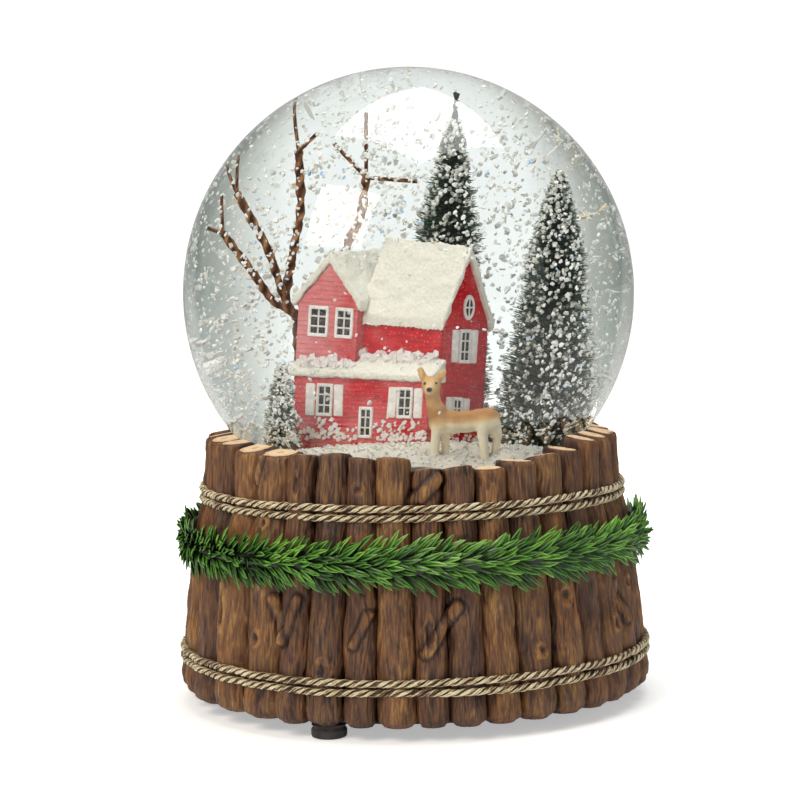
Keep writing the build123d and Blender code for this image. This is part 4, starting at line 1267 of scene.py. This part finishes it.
def addOval(trim, panes, place):
    w, v, radius = house["oval"]
    sides = 40

    def around(step, wide, tall, out):
        angle = 2 * math.pi * step / sides
        return place(w + radius * wide * math.cos(angle), out, v + radius * tall * math.sin(angle))

    # the ring's section: (share of the radius, out from the wall)
    section = [(1.18, 0.2), (1.2, -0.35), (1.08, -0.55), (0.92, -0.55), (0.8, -0.25), (0.8, 0.2)]
    points = [around(step, share * 0.8, share * 1.15, out) for step in range(sides) for share, out in section]
    addShape(trim, points, loopFaces(sides, len(section)))
    addBox(trim, place, (w - 0.17, -0.48, v - radius * 1.1), (w + 0.17, 0.3, v + radius * 1.1), 0.1)
    addBox(trim, place, (w - radius * 0.8, -0.48, v - 0.17), (w + radius * 0.8, 0.3, v + 0.17), 0.1)
    points = [around(step, 0.8, 1.12, out) for out in (-0.30, 0.4) for step in range(sides)]
    faces = [tuple(range(sides)), tuple(reversed(range(sides, 2 * sides)))]
    faces += [(s, s + sides, (s + 1) % sides + sides, (s + 1) % sides) for s in range(sides)]
    addShape(panes, points, faces)


def makeSnowFinish(name, hexColour, glitter):
    # flocked snow: matt white crystals, with flecks of glitter that catch the lamps
    material, tree, shader = newMaterial(name, hexColour, 0.75, IOR=inWater)
    place = addNode(tree, "TexCoord").outputs["Object"]
    grain = addNode(tree, "TexNoise", {"Scale": perMm(0.55), "Detail": 5.0, "Roughness": 0.65},
                    {"Vector": place})
    red, green, blue = toLinear(hexColour)[:3]
    shade = addNode(tree, "Mix", {"data_type": "RGBA", 6: (red * 0.72, green * 0.71, blue * 0.70, 1.0),
                                  7: (min(red * 1.12, 1), min(green * 1.12, 1), min(blue * 1.12, 1), 1.0)},
                    {"Factor": grain.outputs["Fac"]})
    fleck = addNode(tree, "TexVoronoi", {"Scale": perMm(0.5)}, {"Vector": place})
    bright = addNode(tree, "Math", {"operation": "LESS_THAN", 1: glitter}, {0: fleck.outputs["Distance"]})
    colour = addNode(tree, "Mix", {"data_type": "RGBA", 7: toLinear("#FFFFF6")},
                     {"Factor": bright.outputs[0], 6: shade.outputs[2]})
    tree.links.new(colour.outputs[2], shader.inputs["Base Color"])
    rough = addNode(tree, "MapRange", {"To Min": 0.78, "To Max": 0.22}, {"Value": bright.outputs[0]})
    tree.links.new(rough.outputs["Result"], shader.inputs["Roughness"])
    addNode(tree, "Bump", {"Strength": 0.8, "Distance": 0.25 * mm}, {"Height": grain.outputs["Fac"]},
            {"Normal": shader.inputs["Normal"]})
    return material


def softCopy(name, source, voxel, lumpSize, lumpDeep, grit, finish, seed):
    # a piece with the same outline as a CAD node, but with worn, lumpy, granular surfaces
    piece = bpy.data.objects.new(name, nodes[source].data.copy())
    piece.matrix_world = nodes[source].matrix_world.copy()
    bpy.context.scene.collection.objects.link(piece)
    mesh = wearDown(piece, voxel, 6)
    mesh.transform(piece.matrix_world)
    piece.matrix_world = Matrix()

    def push(spot):
        return (lumpDeep * noise.noise(spot / lumpSize + Vector((seed, 0, 0)))
                + grit * noise.noise(spot / 0.5 + Vector((0, seed, 0)))
                + 0.5 * grit * noise.noise(spot / 1.3))

    pushOut(mesh, push)
    mesh.materials.clear()
    mesh.materials.append(finish)
    mesh.update()
    placePiece(piece, "globe", (source,))


roofs = [
    # name, CAD node, voxel, lump size and depth, grit, seed
    ("main_roof", "main_roof_snow", 0.30, 3.0, 0.40, 0.16, 3),
    ("wing_roof", "wing_roof_snow", 0.30, 3.0, 0.40, 0.16, 8),
    ("porch_roof", "porch_roof_snow", 0.28, 2.0, 0.35, 0.18, 14),
]
dabs = {
    "drift": 150,    # crystals where the porch roof meets the wall
    "foot": 250,     # dabs tried along the foot of the walls
    "highest": 5.2,
}


def makeRoofs():
    snow = makeSnowFinish("flocked roof snow", "#F0EEE3", 0.14)
    for name, source, voxel, lumpSize, lumpDeep, grit, seed in roofs:
        softCopy(name, source, voxel, lumpSize, lumpDeep, grit, snow, seed)
    rng = random.Random(31)
    build = newBuild()
    porchLeft, porchRight, porchFront, porchBack, porchEave, porchHead = house["porch"]
    # a ragged drift of crystals where the porch roof meets the wall
    slope = (porchHead - porchEave) / 5.5
    for _ in range(dabs["drift"]):
        u = rng.uniform(porchLeft + 0.3, porchRight - 0.4)
        wallFront = house["wing"][2] if u < house["main"][0] else 0.0
        share = rng.random()
        w = wallFront - 0.25 - 1.5 * share
        v = porchEave + 1.2 + slope * (w + 5.5) + rng.uniform(-0.1, 1.25) * (1 - share)
        addChip(build, rng, atHouse(u, w, v), rng.uniform(0.9, 2.2), 0.75)
    # snow dabbed on the foot of the walls
    for _ in range(dabs["foot"]):
        v = abs(rng.gauss(0.0, 2.3))
        if v > dabs["highest"]:
            continue
        if rng.random() < 0.74:
            u, w = rng.uniform(porchLeft, porchRight), porchFront - 0.20
            if house["door"][0] - 0.2 < u < house["door"][1] + 0.2 and v < 6.8:
                continue
            normal = -houseBack
        else:
            u, w = 0.20, rng.uniform(0, 16.0)
            normal = houseRight
        facing = normal + Vector((rng.uniform(-0.25, 0.25), rng.uniform(-0.25, 0.25), rng.uniform(-0.1, 0.3)))
        addChip(build, rng, atHouse(u, w, v), rng.uniform(0.7, 1.8), 0.22, facing)
    flecks = makeSnowFinish("crystal snow dabs", "#F2ECEA", 0.12)
    makePiece("house_snow", build, [flecks], "globe", smooth=False)


makeHouse()
makeRoofs()
print("house made")


# ---- the deer

deer = {
    # blobs are (x, y, z, radius, side to side, front to back, up and down)
    "blobs": [
        (17.5, -29.0, 79.5, 2.9, 1.0, 0.92, 1.15), (15.6, -28.8, 79.8, 2.8, 1.2, 0.92, 1.02),
        (12.6, -28.7, 79.6, 2.75, 1.4, 0.92, 1.0), (9.4, -28.7, 79.6, 2.85, 1.1, 0.98, 1.05),
        (6.7, -28.8, 79.8, 2.85, 0.95, 1.0, 1.2), (5.9, -29.2, 82.0, 2.25, 1.0, 1.0, 1.25),
        (5.2, -29.6, 84.2, 1.8, 1.0, 1.0, 1.25), (4.9, -29.9, 86.2, 1.7, 1.0, 1.0, 1.2),
        (4.7, -30.3, 88.3, 2.35, 0.95, 1.0, 0.98), (4.5, -31.4, 87.5, 1.75, 0.92, 1.05, 0.85),
        (4.4, -32.4, 87.0, 1.3, 0.95, 1.0, 0.85), (20.0, -28.6, 80.4, 0.75, 0.9, 1.0, 1.3),
    ],
    # start, end, radius at each; two to a leg
    "limbs": [
        ((6.2, -29.8, 79.6), (5.6, -30.1, 75.8), 1.65, 1.1),
        ((5.6, -30.1, 76.1), (5.3, -30.2, 69.6), 1.1, 1.0),
        ((7.6, -27.6, 79.2), (7.8, -27.4, 75.8), 1.55, 1.05),
        ((7.8, -27.4, 76.0), (7.7, -27.4, 70.2), 1.05, 0.95),
        ((16.8, -29.8, 79.3), (16.6, -30.0, 75.6), 2.25, 1.3),
        ((16.6, -30.0, 75.9), (17.6, -30.2, 69.2), 1.25, 1.0),
        ((18.7, -27.6, 78.8), (20.0, -27.4, 75.4), 1.95, 1.2),
        ((20.0, -27.4, 75.7), (19.3, -27.4, 70.0), 1.1, 0.95),
    ],
    # ears: root, tip, widest half width
    "ears": [((3.3, -30.0, 89.5), (2.3, -30.0, 91.9), 1.25), ((6.2, -30.0, 89.5), (7.5, -30.0, 91.4), 1.25)],
    "eyes": [(3.35, -31.95, 88.75, 0.42), (5.7, -32.0, 88.75, 0.42)],
    "nose": (4.3, -33.55, 87.25, 0.66),
    "voxel": 0.26,
}


def addBlob(build, centre, radii):
    rings, sides = 12, 20
    points = [(centre[0], centre[1], centre[2] - radii[2])]
    for ring in range(1, rings):
        up = math.pi * ring / rings
        for side in range(sides):
            angle = 2 * math.pi * side / sides
            points.append((centre[0] + radii[0] * math.sin(up) * math.cos(angle),
                           centre[1] + radii[1] * math.sin(up) * math.sin(angle),
                           centre[2] - radii[2] * math.cos(up)))
    points.append((centre[0], centre[1], centre[2] + radii[2]))
    addShape(build, points, poleFaces(rings - 1, sides))


def addLimb(build, start, end, startRadius, endRadius):
    steps = 8
    path = [Vector(start).lerp(Vector(end), i / steps) for i in range(steps + 1)]
    radii = [startRadius + (endRadius - startRadius) * i / steps for i in range(steps + 1)]
    addTube(build, path, radii, 16)
    addBlob(build, start, (startRadius,) * 3)
    addBlob(build, end, (endRadius,) * 3)


def coatTone(spot):
    # share of tan paint: cream legs and belly, tan back and neck, a paler face and inner ears
    tan = smoothStep(77.0, 81.2, spot.z)
    tan *= 1 - 0.45 * smoothStep(17.6, 20.0, spot.x) * smoothStep(81.6, 79.0, spot.z)
    tan = max(tan, 0.62 * smoothStep(76.0, 80.0, spot.z) * smoothStep(10.0, 7.5, spot.x))
    tan += (0.74 - tan) * smoothStep(81.8, 84.0, spot.z)
    tan -= 0.18 * smoothStep(-31.0, -32.8, spot.y)
    tan -= 0.16 * smoothStep(89.6, 90.4, spot.z) * smoothStep(1.5, 2.2, abs(spot.x - 4.75))
    return max(tan, 0.10)


def makeDeer():
    build = newBuild()
    for x, y, z, radius, wide, deep, tall in deer["blobs"]:
        addBlob(build, (x, y, z), (radius * wide, radius * deep, radius * tall))
    for limb in deer["limbs"]:
        addLimb(build, *limb)
    for root, tip, wide in deer["ears"]:
        root, tip = Vector(root), Vector(tip)
        for i in range(9):
            t = i / 8
            size = wide * (0.62 + 0.38 * math.sin(math.pi * (0.1 + 0.75 * t)))
            spot = root.lerp(tip, t)
            addBlob(build, spot, (size * 0.8, 0.42, size * 0.8))
    # hand-painted resin: tan back fading to a cream belly, rump and legs
    resin = mottledFinish(
        "painted resin deer", "#C79A68", 0.38, [(1.6, 4.0, 0.3)],
        [(0.10, "#F1E7CF"), (0.40, "#E6D0A6"), (0.66, "#CBA06A"), (0.95, "#AD7C46")], "coat",
        (0.35, 3.0, 0.05, 0.5), IOR=inWater)
    mesh = bpy.data.meshes.new("deer_body")
    mesh.from_pydata([(x * mm, y * mm, z * mm) for x, y, z in build["points"]], [], build["faces"])
    mesh.update()
    piece = bpy.data.objects.new("deer_body", mesh)
    bpy.context.scene.collection.objects.link(piece)
    mesh = wearDown(piece, deer["voxel"], 8)
    pushOut(mesh, lambda spot: 0.05 * noise.noise(spot * 1.1))
    coat = [coatTone(vertex.co / mm) for vertex in mesh.vertices]
    mesh.attributes.new("coat", "FLOAT", "POINT").data.foreach_set("value", coat)
    mesh.materials.clear()
    mesh.materials.append(resin)
    placePiece(piece, "globe", ("deer",))
    # glossy black eyes and nose, set proud like beads of paint
    black = mottledFinish("glossy black bead paint", "#120E0C", 0.12, [(0.8, 2.0, 1.0)],
                          [(0.3, "#0D0A09"), (0.8, "#2A2220")])
    dots = newBuild()
    for x, y, z, radius in deer["eyes"] + [deer["nose"]]:
        addBlob(dots, (x, y, z), (radius, radius * 0.7, radius * 0.85))
    makePiece("deer_eyes_and_nose", dots, [black], "globe")


makeDeer()
print("deer made")


# ---- bristle firs

firs = [
    # name, CAD node, foot, tip, radius at the foot, bristles, flock chips, bare wire above
    ("fir_right", "fir_tree_right", (26.0, 5.0, 73.0), (30.7, 5.0, 131.5), 12.2, 8600, 1900, 0.0),
    ("fir_back", "fir_tree_back", (4.2, 21.5, 73.0), (9.0, 20.1, 138.5), 12.4, 8200, 1700, 4.5),
    ("fir_left", "fir_tree_left", (-28.4, -10.0, 71.5), (-26.9, -10.0, 94.0), 5.3, 2300, 700, 0.0),
]


def makeFirs(flock):
    # dyed nylon bristle: dark green, satin
    bristle = mottledFinish("dyed green bristle", "#2E4230", 0.5, [(4.0, 2.0, 0.5)],
                            [(0.1, "#1C281F"), (0.5, "#324636"), (0.9, "#5D6F58")], "relief", IOR=inWater)
    rng = random.Random(77)
    for name, node, foot, tip, radius, bristles, chips, wire in firs:
        foot, tip = Vector(foot), Vector(tip)
        axis = (tip - foot).normalized()
        length = (tip - foot).length
        side = axis.orthogonal().normalized()
        other = axis.cross(side)
        build = newBuild()
        relief = []
        # twisted pair of wires up the middle
        for strand in (0, math.pi):
            steps = int((length + wire) / 0.8)
            path = []
            for i in range(steps + 1):
                along = (length + wire) * i / steps
                turn = strand + along * 1.6
                path.append(foot + axis * along + 0.32 * (math.cos(turn) * side + math.sin(turn) * other))
            before = len(build["points"])
            addTube(build, path, [0.34] * len(path), 8)
            relief += [0.2] * (len(build["points"]) - before)
        flockBuild = newBuild()
        for _ in range(bristles):
            share = rng.random() ** 1.25
            along = length * share
            ragged = 1 + 0.16 * noise.noise(Vector((share * 9, 0, radius)))
            reach = (radius * (1 - share) ** 0.62 + 0.6 * share) * ragged * rng.uniform(0.74, 1.05)
            turn = rng.uniform(0, 2 * math.pi)
            out = math.cos(turn) * side + math.sin(turn) * other
            climb = rng.uniform(0.05, 0.40)
            swirl = rng.uniform(-0.25, 0.25)
            cross = axis.cross(out)
            ahead = (out + axis * climb + cross * swirl).normalized()
            root = foot + axis * (along - climb * reach * 0.5)
            end = root + ahead * reach
            middle = root.lerp(end, 0.55) + axis * rng.uniform(-0.4, 0.4)
            thick = rng.uniform(0.085, 0.135)
            across = ahead.orthogonal().normalized()
            third = ahead.cross(across)
            points = []
            for spot, half in ((root, thick), (middle, thick), (end, thick * 0.45)):
                for corner in range(3):
                    angle = 2 * math.pi * corner / 3
                    points.append(tuple(spot + half * (math.cos(angle) * across + math.sin(angle) * third)))
            addShape(build, points, cappedFaces(3, 3))
            tone = rng.uniform(-0.15, 0.15)
            # painted shade: each bristle darker at its root inside the tree, lighter toward its tip
            relief += [0.15 + tone] * 3 + [0.40 + tone] * 3 + [0.70 + tone] * 3
            if rng.random() < chips / bristles:
                spot = root.lerp(end, rng.uniform(0.62, 1.02))
                addChip(flockBuild, rng, spot, rng.uniform(0.6, 1.35), 0.55)
        makePiece(name, build, [bristle], "globe", (node,), {"relief": relief})
        makePiece(name + "_flock", flockBuild, [flock], "globe",
                  smooth=False)


flock = makeSnowFinish("white flock", "#E9EBE6", 0.08)
makeFirs(flock)
print("firs made")


# ---- bare twig trees

twigs = {
    "thick": 0.82,
    "thin": 0.38,
    "step": 0.35,    # millimetres between rings
    "wrap": 2.2,     # and between turns of the tape
    "left": [
        ("thick", [(-20.5, 12, 70.0), (-21.6, 11, 100.5), (-22.4, 9, 104.0), (-26.7, 7, 106.8),
                   (-30.7, 6, 112.5), (-36.6, 6, 120.2)]),
        ("thin", [(-36.6, 6, 120.2), (-37.4, 6, 128.2)]),
        ("thin", [(-36.6, 6, 120.2), (-40.4, 6, 121.5)]),
        ("thick", [(-22.4, 9, 104.0), (-24.4, 7, 107.5), (-27.2, 6, 116.1), (-30.2, 6, 121.8),
                   (-33.8, 6, 128.2)]),
        ("thin", [(-33.8, 6, 128.2), (-37.8, 6, 135.6)]),
        ("thin", [(-33.8, 6, 128.2), (-34.5, 6, 136.7)]),
        ("thick", [(-22.4, 9, 104.0), (-23.6, 10, 107.5), (-21.7, 10, 117.9), (-20.5, 10, 124.6),
                   (-20.7, 10, 135.3)]),
        ("thin", [(-20.7, 10, 135.3), (-22.5, 10, 148.5)]),
        ("thin", [(-20.7, 10, 135.3), (-17.2, 10, 138.6)]),
    ],
    "back": [
        ("thick", [(-9.0, 23, 70.0), (-12.6, 22, 106.0), (-11.3, 19, 116.2), (-8.8, 18, 121.5),
                   (-7.5, 18, 128.9)]),
        ("thin", [(-7.5, 18, 128.9), (-7.2, 18, 140.5)]),
        ("thin", [(-7.5, 18, 128.9), (-13.2, 18, 135.0)]),
        ("thin", [(-7.5, 18, 128.9), (2.1, 18, 128.0)]),
    ],
}


def smoothRoute(route, spacing):
    # a rounded path through the set-out points
    spots = [Vector(p) for p in route]
    path = []
    for i in range(len(spots) - 1):
        before = spots[max(i - 1, 0)]
        a, b = spots[i], spots[i + 1]
        after = spots[min(i + 2, len(spots) - 1)]
        steps = max(2, int((b - a).length / spacing))
        for step in range(steps):
            t = step / steps
            path.append(0.5 * (2 * a + (b - before) * t + (2 * before - 5 * a + 4 * b - after) * t * t
                               + (3 * a - before - 3 * b + after) * t ** 3))
    path.append(spots[-1])
    return path


def makeTwigs(flock):
    # wire wrapped in brown floral tape, waxy, with dark seams where the wraps overlap
    finish = mottledFinish(
        "brown wrapped wire", "#7A5238", 0.5, [(1.5, 4.0, 0.6)],
        [(0.1, "#2E1C12"), (0.4, "#5A3823"), (0.7, "#8A5E3F"), (0.95, "#B48B66")], "relief",
        (1.5, 4.0, 0.10, 0.6), IOR=inWater)
    rng = random.Random(9)
    for name, node, branches in (("twig_left", "twig_tree_left", twigs["left"]),
                                 ("twig_back", "twig_tree_back", twigs["back"])):
        build = newBuild()
        snow = newBuild()
        relief = []
        for kind, route in branches:
            radius = twigs[kind]
            path = smoothRoute(route, twigs["step"])
            sides = 14 if kind == "thick" else 10
            seed = rng.uniform(0, 100)
            radii = []
            for i in range(len(path)):
                bumps = 0.10 * noise.noise(Vector((i * 0.16, seed, 0)))
                bumps += 0.08 * noise.noise(Vector((i * 0.5, seed, 3)))
                radii.append(radius * (1.0 + bumps * (1.6 if kind == "thick" else 0.5)))
            points = tubePoints(path, radii, sides)
            for i in range(len(path)):
                for corner in range(sides):
                    # two strands wound round each other under the tape
                    turn = 2 * math.pi * corner / sides
                    strand = math.cos(2 * (turn - i * twigs["step"] * 0.9))
                    wrap = math.cos(turn - i * twigs["step"] * 2 * math.pi / twigs["wrap"])
                    index = i * sides + corner
                    spot = Vector(points[index])
                    away = spot - path[i]
                    lift = 0.12 * strand + 0.05 * wrap if kind == "thick" else 0.03 * wrap
                    grain = noise.noise(spot * 1.7)
                    spot += away * (lift + 0.10 * grain)
                    points[index] = tuple(spot)
                    # painted light and shade: lighter on the crowns of the two strands, darker in the groove
                    # between them, with the tape's own seams and grain on top
                    relief.append(clamp(0.48 + 0.28 * strand + 0.12 * wrap + 0.2 * grain))
            addShape(build, points, cappedFaces(len(path), sides))
            amount = 2.6 if kind == "thick" else 1.0
            for i in range(0, len(path), 3):
                if path[i].z < 76 or rng.random() > amount * 0.16:
                    continue
                away = Vector((rng.gauss(0, 1), rng.gauss(0, 1), rng.gauss(0.4, 1))).normalized()
                addChip(snow, rng, path[i] + away * radii[i], rng.uniform(0.7, 1.35), 0.45)
        makePiece(name, build, [finish], "globe", (node,), {"relief": relief})
        makePiece(name + "_snow", snow, [flock], "globe", smooth=False)


makeTwigs(flock)
print("twigs made")


# ---- snowy ground and the flakes in the water

ground = {
    "rings": 110,
    "columns": 280,
    "crown": 76.4,
    "rim": 69.2,        # height at which it meets the glass
    "floor": 64.9,
    "grains": 2400,
    "grainReach": 42.0,
}


def groundHeight(x, y):
    share = min(math.hypot(x, y) / 40.0, 1.08)
    height = ground["crown"] - 7.2 * share ** 3
    height -= 2.6 * smoothStep(33.0, 42.0, math.hypot(x, y)) * smoothStep(8.0, -14.0, y)
    # trodden down where the deer stands
    height -= 1.9 * smoothStep(14.0, 5.0, math.hypot(x - 11.5, y + 31.0))
    height += (0.55 * noise.noise(Vector((x / 6.0, y / 6.0, 1)))
               + 0.35 * noise.noise(Vector((x / 2.4, y / 2.4, 5))))
    return height


def insideBall(z, wall):
    radius = ball["radius"] - wall
    return math.sqrt(max(radius ** 2 - (z - ball["centre"]) ** 2, 0.0))


def makeGround():
    snow = makeSnowFinish("settled snow grains", "#DAD4CA", 0.09)
    rings, columns = ground["rings"], ground["columns"]
    points = []
    outer = insideBall(ground["rim"], 2.12)
    for ring in range(rings + 1):
        radius = 0.6 + (outer - 0.6) * (ring / rings) ** 0.85
        for c in range(columns):
            azimuth = 2 * math.pi * c / columns
            x, y, z = polar(radius, azimuth, 0)
            z = groundHeight(x, y)
            fade = 1 - smoothStep(outer - 0.8, outer, radius)
            spot = Vector((x, y, 0))
            z += fade * (0.26 * noise.noise(spot / 0.62)
                         + 0.16 * noise.noise(spot / 0.33 + Vector((9, 0, 0))))
            limit = insideBall(z, 2.10)
            squeeze = min(1.0, limit / max(radius, 1.0))
            points.append((x * squeeze, y * squeeze, z))
    for radius in (insideBall(ground["floor"], 2.3), 0.6):
        points += [polar(radius, 2 * math.pi * c / columns, ground["floor"]) for c in range(columns)]
    faces = [tuple(reversed(face)) for face in loopFaces(rings + 3, columns)]
    makePiece("snowy_ground", {"points": points, "faces": faces}, [snow], "globe",
              ("snow_ground", "settled_snow"))
    rng = random.Random(4)
    build = newBuild()
    for _ in range(ground["grains"]):
        radius = ground["grainReach"] * math.sqrt(rng.random())
        x, y, z = polar(radius, rng.uniform(0, 2 * math.pi), 0)
        if abs(y + 8) < 5 and abs(x) < 8:
            continue
        z = groundHeight(x, y) + 0.2
        if math.hypot(x, y) > insideBall(z, 3.2):
            continue
        facing = (rng.uniform(-0.6, 0.6), rng.uniform(-0.6, 0.6), 1.0)
        addChip(build, rng, (x, y, z), rng.uniform(0.45, 1.1), 0.5, facing)
    makePiece("loose_snow", build, [flock], "globe", smooth=False)


flakes = {
    "count": 5600,
    "size": (0.75, 1.7),
    "clear": 57.0,
}


def makeFlakes():
    # thin plastic flakes: white, a few tinted blue or amber as painted glints of coloured light
    finish = mottledFinish(
        "thin plastic snowflakes", "#E3E4E1", 0.35, [(0.8, 2.0, 0.05)],
        [(0.0, "#D8C4A0"), (0.03, "#CFD0CD"), (0.45, "#DEDFDC"), (0.95, "#F3F4F1"), (0.985, "#BCD2EA"),
         (1.0, "#9CC0E8")], "tone", IOR=inWater)
    rng = random.Random(2024)
    build = newBuild()
    tones = []
    made = 0
    porchLeft, porchRight, porchFront = house["porch"][:3]
    while made < flakes["count"]:
        x, y = rng.uniform(-56, 56), rng.uniform(-56, 56)
        share = rng.random() ** 1.5
        z = 74.0 + 90.0 * share
        if math.sqrt(x * x + y * y + (z - ball["centre"]) ** 2) > flakes["clear"] - 0.8:
            continue
        if z < groundHeight(x, y) + 0.8:
            continue
        # the flakes drift, so they bunch up in some places and thin out in others
        if noise.noise(Vector((x / 16, y / 16, z / 16))) + 0.42 < rng.random() * 0.6:
            continue
        # keep clear of the house's walls and the deer
        local = Vector((x, y, z)) - houseCorner
        u, w, v = local.dot(houseRight), local.dot(houseBack), local.dot(houseUp)
        if porchLeft - 1.5 < u < porchRight + 1.5 and porchFront - 1.5 < w < 18 and v < 42:
            continue
        if 1 < x < 24 and -34 < y < -24 and z < 94:
            continue
        # few flakes hang right in front of the house
        if y < -8 and -27 < x < 22 and z < 117 and rng.random() < 0.97:
            continue
        before = len(build["points"])
        addChip(build, rng, (x, y, z), rng.uniform(*flakes["size"]), 0.24)
        # a random tone for each flake; the rare ends of the range give the blue and amber painted glints
        tones += [rng.random()] * (len(build["points"]) - before)
        made += 1
    makePiece("snow_flakes_adrift", build, [finish], "globe",
              ("snow_flakes",), {"tone": tones}, smooth=False)


makeGround()
makeFlakes()
print("ground and flakes made")


# ---- finishes for the CAD pieces that are shown as they are

def makeMetal(name, hexColour, roughness, brush):
    material, tree, shader = newMaterial(name, hexColour, roughness, Metallic=1.0)
    place = addNode(tree, "TexCoord").outputs["Object"]
    stretch = addNode(tree, "Mapping", {"Scale": brush}, {"Vector": place})
    lines = addNode(tree, "TexNoise", {"Scale": perMm(1.0), "Detail": 5.0},
                    {"Vector": stretch.outputs["Vector"]})
    spots = addNode(tree, "TexNoise", {"Scale": perMm(4.0), "Detail": 3.0}, {"Vector": place})
    rough = addNode(tree, "MapRange", {"To Min": max(roughness - 0.10, 0.05), "To Max": roughness + 0.14},
                    {"Value": lines.outputs["Fac"]})
    tree.links.new(rough.outputs["Result"], shader.inputs["Roughness"])
    red, green, blue = toLinear(hexColour)[:3]
    worn = addNode(tree, "Mix", {"data_type": "RGBA", 6: (red * 0.78, green * 0.76, blue * 0.74, 1.0),
                                 7: (red, green, blue, 1.0)}, {"Factor": spots.outputs["Fac"]})
    tree.links.new(worn.outputs[2], shader.inputs["Base Color"])
    addNode(tree, "Bump", {"Strength": 0.5, "Distance": 0.02 * mm}, {"Height": lines.outputs["Fac"]},
            {"Normal": shader.inputs["Normal"]})
    return material


def makePlastic(name, darkHex, lightHex, roughness, grainMm, deepMm):
    material, tree, shader = newMaterial(name, darkHex, roughness)
    place = addNode(tree, "TexCoord").outputs["Object"]
    grain = addNode(tree, "TexNoise", {"Scale": perMm(grainMm), "Detail": 4.0}, {"Vector": place})
    cloud = addNode(tree, "TexNoise", {"Scale": perMm(9.0), "Detail": 3.0}, {"Vector": place})
    addNode(tree, "ValToRGB", {"stops": [(0.3, darkHex), (0.75, lightHex)]}, {0: cloud.outputs["Fac"]},
            {"Color": shader.inputs["Base Color"]})
    rough = addNode(tree, "MapRange", {"To Min": roughness - 0.06, "To Max": roughness + 0.10},
                    {"Value": cloud.outputs["Fac"]})
    tree.links.new(rough.outputs["Result"], shader.inputs["Roughness"])
    addNode(tree, "Bump", {"Strength": 0.6, "Distance": deepMm * mm}, {"Height": grain.outputs["Fac"]},
            {"Normal": shader.inputs["Normal"]})
    return material


def dressCadNodes():
    brass = makeMetal("rolled brass", "#D0A552", 0.30, (1, 1, 0.1))
    cutBrass = makeMetal("cut gear brass", "#C99A45", 0.34, (1, 0.2, 1))
    steel = makeMetal("turned steel", "#B8B6B2", 0.28, (1, 1, 0.15))
    blued = makeMetal("blued spring steel", "#4A5262", 0.30, (0.2, 1, 1))
    plated = makeMetal("nickel plated steel", "#C9C6C0", 0.22, (1, 1, 0.3))
    black = makePlastic("black moulded plastic", "#111112", "#242425", 0.46, 0.6, 0.05)
    nylon = makePlastic("white nylon", "#DDD9CF", "#EFECE4", 0.42, 0.8, 0.02)
    stopper = makePlastic("soft black rubber", "#1A1918", "#2E2C2A", 0.74, 0.5, 0.06)
    sealant = makePlastic("set clear sealant", "#B9B9B2", "#D2D2CC", 0.35, 1.2, 0.04)
    finishes = {
        "bottom_plate": black, "plate_screws": plated, "sealant_ring": sealant, "rubber_stopper": stopper,
        "movement_bedplate": brass, "spring_barrel": brass, "mainspring": blued, "inner_upright": brass,
        "outer_upright": brass, "music_comb": steel, "comb_block": brass, "comb_screws": steel,
        "movement_screws": steel, "winding_arbor": steel, "great_wheel": cutBrass, "winding_key": plated,
        "pin_cylinder": cutBrass, "cylinder_arbor": steel, "cylinder_pinion": nylon, "drive_gear": cutBrass,
        "governor_shaft": steel, "air_brake_fan": nylon,
    }
    for name, material in finishes.items():
        for holder in nodes[name].material_slots:
            holder.material = material
    print("cad finishes set on", len(finishes), "nodes")


dressCadNodes()
